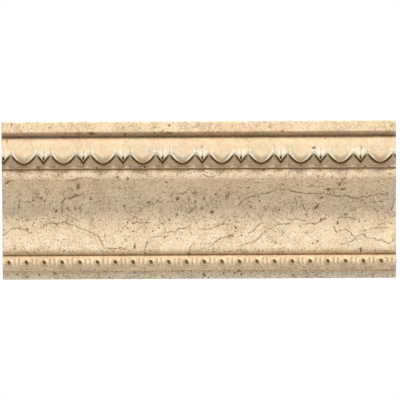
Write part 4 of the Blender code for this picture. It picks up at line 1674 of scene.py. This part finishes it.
def pits_group() -> EffectGroup:
    """Dark pits and specks, each with its own size, in loose swarms.

    Returns:
        The group, with the output Mask.
    """
    group = EffectGroup(
        "pits",
        {
            "Place": (VECTOR, None),
            "Spacing": (NUMBER, 4.0),
            "Size": (NUMBER, 0.5),
            "Rarity": (NUMBER, 0.5),
        },
        {"Mask": NUMBER},
    )
    wiring, given = group.wiring, group.start.outputs
    place = given["Place"]
    moved = wiring.pushed(place, 1.1, 0.7, 3.0, 0.7)
    distance, colour = wiring.cells(moved, given["Spacing"], "F1")
    chance = wiring.node("ShaderNodeSeparateColor", {0: colour}).outputs
    swarm = wiring.noise(place, 0.06, 3.0, shift=(19.0, 2.0, 47.0))
    limit = wiring.sum(Operation.ADD, given["Rarity"], wiring.ease(swarm, 0.35, 0.65, 0.25, -0.25))
    chosen = wiring.ease(wiring.sum(Operation.SUBTRACT, chance[0], limit), 0.0, 0.12)
    own_size = wiring.times(wiring.ease(chance[1], 0.0, 1.0, 0.45, 1.5), given["Size"])
    spot = wiring.ease(distance, wiring.times(own_size, 0.45), own_size, 1.0, 0.0)
    group.give("Mask", wiring.times(spot, chosen))
    return group


def drawn_vein_group() -> EffectGroup:
    """Line and faint stain along a vein of the mesh, from the signed distance that the mesh holds.

    Returns:
        The group, with the outputs Mask and Stain.
    """
    group = EffectGroup(
        "drawn_vein",
        {"Place": (VECTOR, None), "Reading": (VECTOR, None), "Width": (NUMBER, 0.6)},
        {"Mask": NUMBER, "Stain": NUMBER},
    )
    wiring, given = group.wiring, group.start.outputs
    place = given["Place"]
    parts = wiring.node("ShaderNodeSeparateXYZ", {0: given["Reading"]}).outputs
    ragged = wiring.sum(Operation.SUBTRACT, wiring.noise(place, 0.8, 3.0, 0.7), 0.5)
    off = wiring.sum(Operation.ABSOLUTE, wiring.sum(Operation.MULTIPLY_ADD, ragged, 1.5, parts[0]))
    swell = wiring.noise(place, 0.3, 3.0, shift=(9.0, 41.0, 23.0))
    swell = wiring.ease(swell, 0.3, 0.7, 0.45, 1.35)
    firm = wiring.ease(parts[1], 0.0, 1.0, 0.45, 1.0)
    width = wiring.times(swell, given["Width"], firm)
    line = wiring.ease(off, wiring.times(width, 0.25), width, 1.0, 0.0)
    broken = wiring.noise(place, 0.4, 3.0, shift=(31.0, 5.0, 77.0))
    broken = wiring.ease(broken, 0.34, 0.52, 0.35, 1.0)
    shown = wiring.times(parts[1], 1.7, clamp=True)
    group.give("Mask", wiring.times(line, broken, shown))
    group.give("Stain", wiring.times(wiring.ease(off, 0.0, 2.2, 1.0, 0.0), parts[1], clamp=True))
    return group


def drawn_spot_group() -> EffectGroup:
    """Dark spot with a ragged rim, from the distance from its rim that the mesh holds.

    Returns:
        The group, with the output Mask.
    """
    group = EffectGroup("drawn_spot", {"Place": (VECTOR, None), "Reading": (VECTOR, None)}, {"Mask": NUMBER})
    wiring, given = group.wiring, group.start.outputs
    place = given["Place"]
    parts = wiring.node("ShaderNodeSeparateXYZ", {0: given["Reading"]}).outputs
    ragged = wiring.sum(Operation.SUBTRACT, wiring.noise(place, 0.9, 4.0, 0.7), 0.5)
    off = wiring.sum(Operation.MULTIPLY_ADD, ragged, 2.2, parts[0])
    patchy = wiring.noise(place, 1.3, 2.0, shift=(5.0, 17.0, 3.0))
    patchy = wiring.ease(patchy, 0.3, 0.6, 0.75, 1.0)
    spot = wiring.ease(off, -0.2, 0.4, 1.0, 0.0)
    shown = wiring.times(parts[1], 1.2, clamp=True)
    group.give("Mask", wiring.times(spot, patchy, shown))
    return group


@dataclass(frozen=True)
class Limestone:
    """Warm beige limestone with brown veins and pits, half polished.

    Its hollows are darkened by dirt and painted shade, and its edges are pale from wear and painted
    highlights.
    """

    name: str = "beige_limestone"
    base: Colour = (0.775, 0.63, 0.437, 1.0)
    pink: Colour = (0.78, 0.61, 0.42, 1.0)
    grey: Colour = (0.735, 0.615, 0.43, 1.0)
    vein: Colour = (0.17, 0.1, 0.042, 1.0)
    pit: Colour = (0.11, 0.066, 0.028, 1.0)
    # The next four colours carry dirt together with painted shade in recesses and under overhangs.
    shade_and_dirt: Colour = (0.13, 0.066, 0.02, 1.0)
    packed_dirt_and_shade: Colour = (0.29, 0.15, 0.03, 1.0)
    deepest_shade_and_dirt: Colour = (0.038, 0.02, 0.004, 1.0)
    shade_and_dirt_tint: Colour = (1.0, 0.93, 0.84, 1.0)
    warm: Colour = (1.0, 0.945, 0.9, 1.0)
    pale: Colour = (1.0, 0.965, 0.82, 1.0)
    drawn_width: float = 0.68
    stain_cover: float = 0.1
    vein_cover: float = 0.85
    pit_cover: float = 0.9
    relief_strength: float = 0.55
    relief_depth: float = 0.00035
    index: float = 1.48
    gloss: float = 0.3

    def veins(self, wiring: Wiring, place: Socket, speckle: Socket) -> tuple[Socket, Socket]:
        """Nets of faint veins and crazing, and the veins that the mesh holds.

        Args:
            wiring: The material's wiring.
            place: Where, in millimetres.
            speckle: How strongly the stone is marked there.

        Returns:
            How much vein and how much stain there is.
        """
        net = hairline_group()
        wide = net.place(wiring, Place=place, Cell=19.0, Width=0.55, Wander=15.0, Cover=0.48)
        moved = wiring.vector(Operation.ADD, place, (211.0, 5.0, 87.0))
        fine = net.place(wiring, Place=moved, Cell=6.5, Width=0.45, Wander=7.0, Cover=0.5)
        moved = wiring.vector(Operation.ADD, place, (17.0, 95.0, 31.0))
        crazing = net.place(wiring, Place=moved, Cell=2.8, Width=0.4, Wander=4.0, Cover=0.46)
        vein = wiring.times(wide.outputs[0], 0.6)
        vein = wiring.sum(Operation.MAXIMUM, vein, wiring.times(fine.outputs[0], 0.6))
        vein = wiring.sum(Operation.MAXIMUM, vein, wiring.times(crazing.outputs[0], 0.42))
        vein = wiring.times(vein, wiring.ease(speckle, 0.0, 0.9, 0.35, 1.0))
        drawn = drawn_vein_group()
        stain = 0.0
        for name in VEIN_LAYERS:
            reading = wiring.attribute(name, "Vector")
            made = drawn.place(wiring, Place=place, Reading=reading, Width=self.drawn_width)
            vein = wiring.sum(Operation.MAXIMUM, vein, made.outputs["Mask"])
            stain = wiring.sum(Operation.MAXIMUM, stain, made.outputs["Stain"])
        return vein, stain

    def pits(self, wiring: Wiring, place: Socket, speckle: Socket) -> Socket:
        """Fine specks, larger pits, and the spots that the mesh holds.

        Args:
            wiring: The material's wiring.
            place: Where, in millimetres.
            speckle: How strongly the stone is marked there.

        Returns:
            How much pit there is.
        """
        group = pits_group()
        specks = group.place(wiring, Place=place, Spacing=1.5, Size=0.48, Rarity=0.42)
        moved = wiring.vector(Operation.ADD, place, (91.0, 44.0, 13.0))
        larger = group.place(wiring, Place=moved, Spacing=4.6, Size=0.75, Rarity=0.64)
        reading = wiring.attribute("spots", "Vector")
        drawn = drawn_spot_group().place(wiring, Place=place, Reading=reading)
        fine = wiring.times(specks.outputs[0], 0.8, speckle)
        coarse = wiring.times(larger.outputs[0], 0.95, speckle, clamp=True)
        return wiring.sum(Operation.MAXIMUM, wiring.sum(Operation.MAXIMUM, fine, coarse), drawn.outputs[0])

    def dirt_and_shade_level(self, wiring: Wiring, place: Socket) -> Socket:
        """Dirt and painted shade, which lie unevenly where they are thin and evenly where they are packed.

        Args:
            wiring: The material's wiring.
            place: Where, in millimetres.

        Returns:
            How much dirt and painted shade there is.
        """
        patina = wiring.attribute("patina")
        uneven = wiring.ease(wiring.noise(place, 0.35, 3.0, 0.6), 0.3, 0.7, 0.8, 1.15)
        settled = wiring.ease(patina, 0.6, 0.78)
        even = wiring.sum(Operation.SUBTRACT, 1.0, uneven)
        return wiring.times(patina, wiring.sum(Operation.MULTIPLY_ADD, settled, even, uneven), clamp=True)

    def make(self) -> bpy.types.Material:
        """Wire the material.

        Returns:
            The material.
        """
        material = bpy.data.materials.new(self.name)
        material.use_nodes = True
        wiring = Wiring(material.node_tree)
        shader = material.node_tree.nodes["Principled BSDF"]
        coordinates = wiring.node("ShaderNodeTexCoord").outputs["Object"]
        place = wiring.vector(Operation.SCALE, coordinates, 1.0 / MM)
        speckle = wiring.attribute("speckle")
        clouds = clouds_group().place(
            wiring, Place=place, Base=self.base, Pink=self.pink, Grey=self.grey, Grain=speckle
        )
        vein, stain = self.veins(wiring, place, speckle)
        pit = self.pits(wiring, place, speckle)
        shaded_and_dirty = self.dirt_and_shade_level(wiring, place)
        patchy = wiring.ease(wiring.noise(place, 0.6, 3.0), 0.3, 0.6, 0.6, 1.0)
        # Wear and painted highlight, made patchy.
        worn_and_lit = wiring.times(wiring.attribute("wear"), patchy, clamp=True)

        upwards = wiring.node("ShaderNodeSeparateXYZ", {0: place}).outputs[2]
        warmth = wiring.ease(upwards, 30.0, 50.0)
        colour = wiring.blend(warmth, clouds.outputs["Colour"], self.warm, "MULTIPLY")
        colour = wiring.blend(worn_and_lit, colour, self.pale)
        colour = wiring.blend(wiring.times(stain, self.stain_cover), colour, self.vein)
        colour = wiring.blend(wiring.times(vein, self.vein_cover), colour, self.vein)
        colour = wiring.blend(wiring.times(pit, self.pit_cover), colour, self.pit)
        # Dirt and painted shade: a warm tint, then brown, then packed brown, and near black in the deepest
        # shade.
        colour = wiring.blend(wiring.times(shaded_and_dirty, 2.5, clamp=True), colour, self.shade_and_dirt_tint, "MULTIPLY")
        colour = wiring.blend(shaded_and_dirty, colour, self.shade_and_dirt)
        colour = wiring.blend(wiring.ease(shaded_and_dirty, 0.62, 0.78), colour, self.packed_dirt_and_shade)
        colour = wiring.blend(wiring.ease(shaded_and_dirty, 0.78, 0.92), colour, self.deepest_shade_and_dirt)
        wiring.put(shader.inputs["Base Color"], colour)

        fine_grain = wiring.times(wiring.noise(place, 2.2, 3.0, 0.65), 0.22)
        height = wiring.sum(Operation.MULTIPLY_ADD, pit, -1.0, fine_grain)
        height = wiring.sum(Operation.MULTIPLY_ADD, vein, -0.35, height)
        relief = wiring.node(
            "ShaderNodeBump",
            {"Strength": self.relief_strength, "Distance": self.relief_depth, "Height": height},
        )
        wiring.put(shader.inputs["Normal"], relief.outputs[0])

        rough = wiring.ease(wiring.noise(place, 0.3, 4.0, 0.6), 0.3, 0.7, 0.42, 0.6)
        rough = wiring.sum(Operation.MULTIPLY_ADD, shaded_and_dirty, 0.35, rough)
        rough = wiring.sum(Operation.MULTIPLY_ADD, pit, 0.3, rough, clamp=True)
        wiring.put(shader.inputs["Roughness"], rough)
        shader.inputs["Metallic"].default_value = 0.0
        shader.inputs["IOR"].default_value = self.index
        shader.inputs["Specular IOR Level"].default_value = self.gloss
        return material


@dataclass
class CorniceMoulding:
    """The whole moulding, one piece of stone."""

    name: str = "cornice_moulding_carved"
    fascia: Fascia = field(default_factory=Fascia)
    eggs: EggAndDart = field(default_factory=EggAndDart)
    cove: Cove = field(default_factory=Cove)
    beads: BeadAndReel = field(default_factory=BeadAndReel)
    foot: Foot = field(default_factory=Foot)
    stone: Limestone = field(default_factory=Limestone)

    def build(self) -> bpy.types.Object:
        """Build the stone from its bands, from the top down, and put it in place of the plain solid.

        Returns:
            The piece.
        """
        gathered = StoneMesh()
        for part in (self.fascia, self.eggs, self.cove, self.beads, self.foot):
            band = part.build()
            gathered.add(band)
            LOG.info("%s: %d points", type(part).__name__, band.x.size)
        mesh = gathered.close()
        mesh.materials.append(self.stone.make())
        piece = bpy.data.objects.new(self.name, mesh)
        bpy.context.scene.collection.objects.link(piece)
        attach(piece, "root")
        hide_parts("cornice_moulding")
        LOG.info("%s: %d faces", piece.name, len(mesh.polygons))
        return piece


@dataclass
class Studio:
    """Plain pale floor, soft light and the camera."""

    floor_height: float = -0.42
    floor_radius: float = 1.1
    floor_sides: int = 96
    floor_colour: Colour = (0.86, 0.85, 0.83, 1.0)
    picture_width: int = 400
    lens: float = 1300.0
    sensor: float = 36.0
    pixel: float = 0.7725
    shift_right: float = 0.9
    shift_down: float = 0.08
    roll: float = 0.0052
    key_elevation: float = 55.2
    key_azimuth: float = 14.0
    key_distance: float = 2.4
    key_size: float = 0.5
    key_power: float = 69.3
    key_colour: tuple[float, float, float] = (1.0, 0.975, 0.94)
    fill_strength: float = 0.447
    fill_colour: Colour = (0.98, 0.99, 1.0, 1.0)
    seen_strength: float = 1.05
    seen_colour: Colour = (1.0, 1.0, 1.0, 1.0)

    def floor(self) -> None:
        """Lay a round pale floor well below the piece."""
        mesh = bpy.data.meshes.new("floor")
        angles = np.linspace(0.0, 2 * math.pi, self.floor_sides, endpoint=False)
        across, along = self.floor_radius * np.cos(angles), self.floor_radius * np.sin(angles)
        ring = np.column_stack((across, along, np.full(self.floor_sides, self.floor_height)))
        mesh.from_pydata(ring.tolist(), [], [list(range(self.floor_sides))])
        material = bpy.data.materials.new("pale_floor")
        material.use_nodes = True
        shader = material.node_tree.nodes["Principled BSDF"]
        shader.inputs["Base Color"].default_value = self.floor_colour
        shader.inputs["Roughness"].default_value = 0.9
        mesh.materials.append(material)
        floor = bpy.data.objects.new("floor", mesh)
        bpy.context.scene.collection.objects.link(floor)

    def light(self) -> None:
        """Hang a soft box high in front, a little to the right, in a room of even white light."""
        lamp = bpy.data.lights.new("key", "AREA")
        lamp.shape = "DISK"
        lamp.size = self.key_size
        lamp.energy = self.key_power
        lamp.color = self.key_colour
        box = bpy.data.objects.new("key", lamp)
        elevation = math.radians(self.key_elevation)
        azimuth = math.radians(self.key_azimuth)
        level = math.cos(elevation)
        towards = Vector((math.sin(azimuth) * level, -math.cos(azimuth) * level, math.sin(elevation)))
        turned = towards.to_track_quat("Z", "Y").to_matrix().to_4x4()
        box.matrix_world = Matrix.Translation(towards * self.key_distance) @ turned
        bpy.context.scene.collection.objects.link(box)

        world = bpy.data.worlds.new("white_room")
        world.use_nodes = True
        wiring = Wiring(world.node_tree)
        world.node_tree.nodes.clear()
        seen, fill = (
            wiring.node("ShaderNodeBackground", {"Color": colour, "Strength": strength})
            for colour, strength in (
                (self.seen_colour, self.seen_strength),
                (self.fill_colour, self.fill_strength),
            )
        )
        ray = wiring.node("ShaderNodeLightPath").outputs["Is Camera Ray"]
        both = wiring.node("ShaderNodeMixShader", {0: ray, 1: fill.outputs[0], 2: seen.outputs[0]})
        wiring.node("ShaderNodeOutputWorld", {"Surface": both.outputs[0]})
        bpy.context.scene.world = world

    def camera(self) -> None:
        """Set the camera straight in front, far off with a long lens, because the photograph looks flat."""
        data = bpy.data.cameras.new("camera")
        data.lens = self.lens
        data.sensor_width = self.sensor
        width = self.picture_width * self.pixel * MM
        distance = width * self.lens / self.sensor
        data.clip_start = 0.1
        data.clip_end = distance + 4.0
        camera = bpy.data.objects.new("camera", data)
        right, up = self.shift_right * self.pixel * MM, self.shift_down * self.pixel * MM
        place = Matrix.Translation(Vector((right, -DEPTH * MM - distance, up)))
        level = Matrix.Rotation(math.pi / 2, 4, "X")
        camera.matrix_world = place @ level @ Matrix.Rotation(-self.roll, 4, "Z")
        bpy.context.scene.collection.objects.link(camera)
        bpy.context.scene.camera = camera
        bpy.context.scene.view_settings.view_transform = "Standard"

    def build(self) -> None:
        """Set up the floor, the light and the camera."""
        self.floor()
        self.light()
        self.camera()


def main() -> None:
    """Build the moulding and the studio."""
    logging.basicConfig(level=logging.INFO, format="%(name)s: %(message)s")
    CorniceMoulding().build()
    Studio().build()


if __name__ == "__main__":
    main()
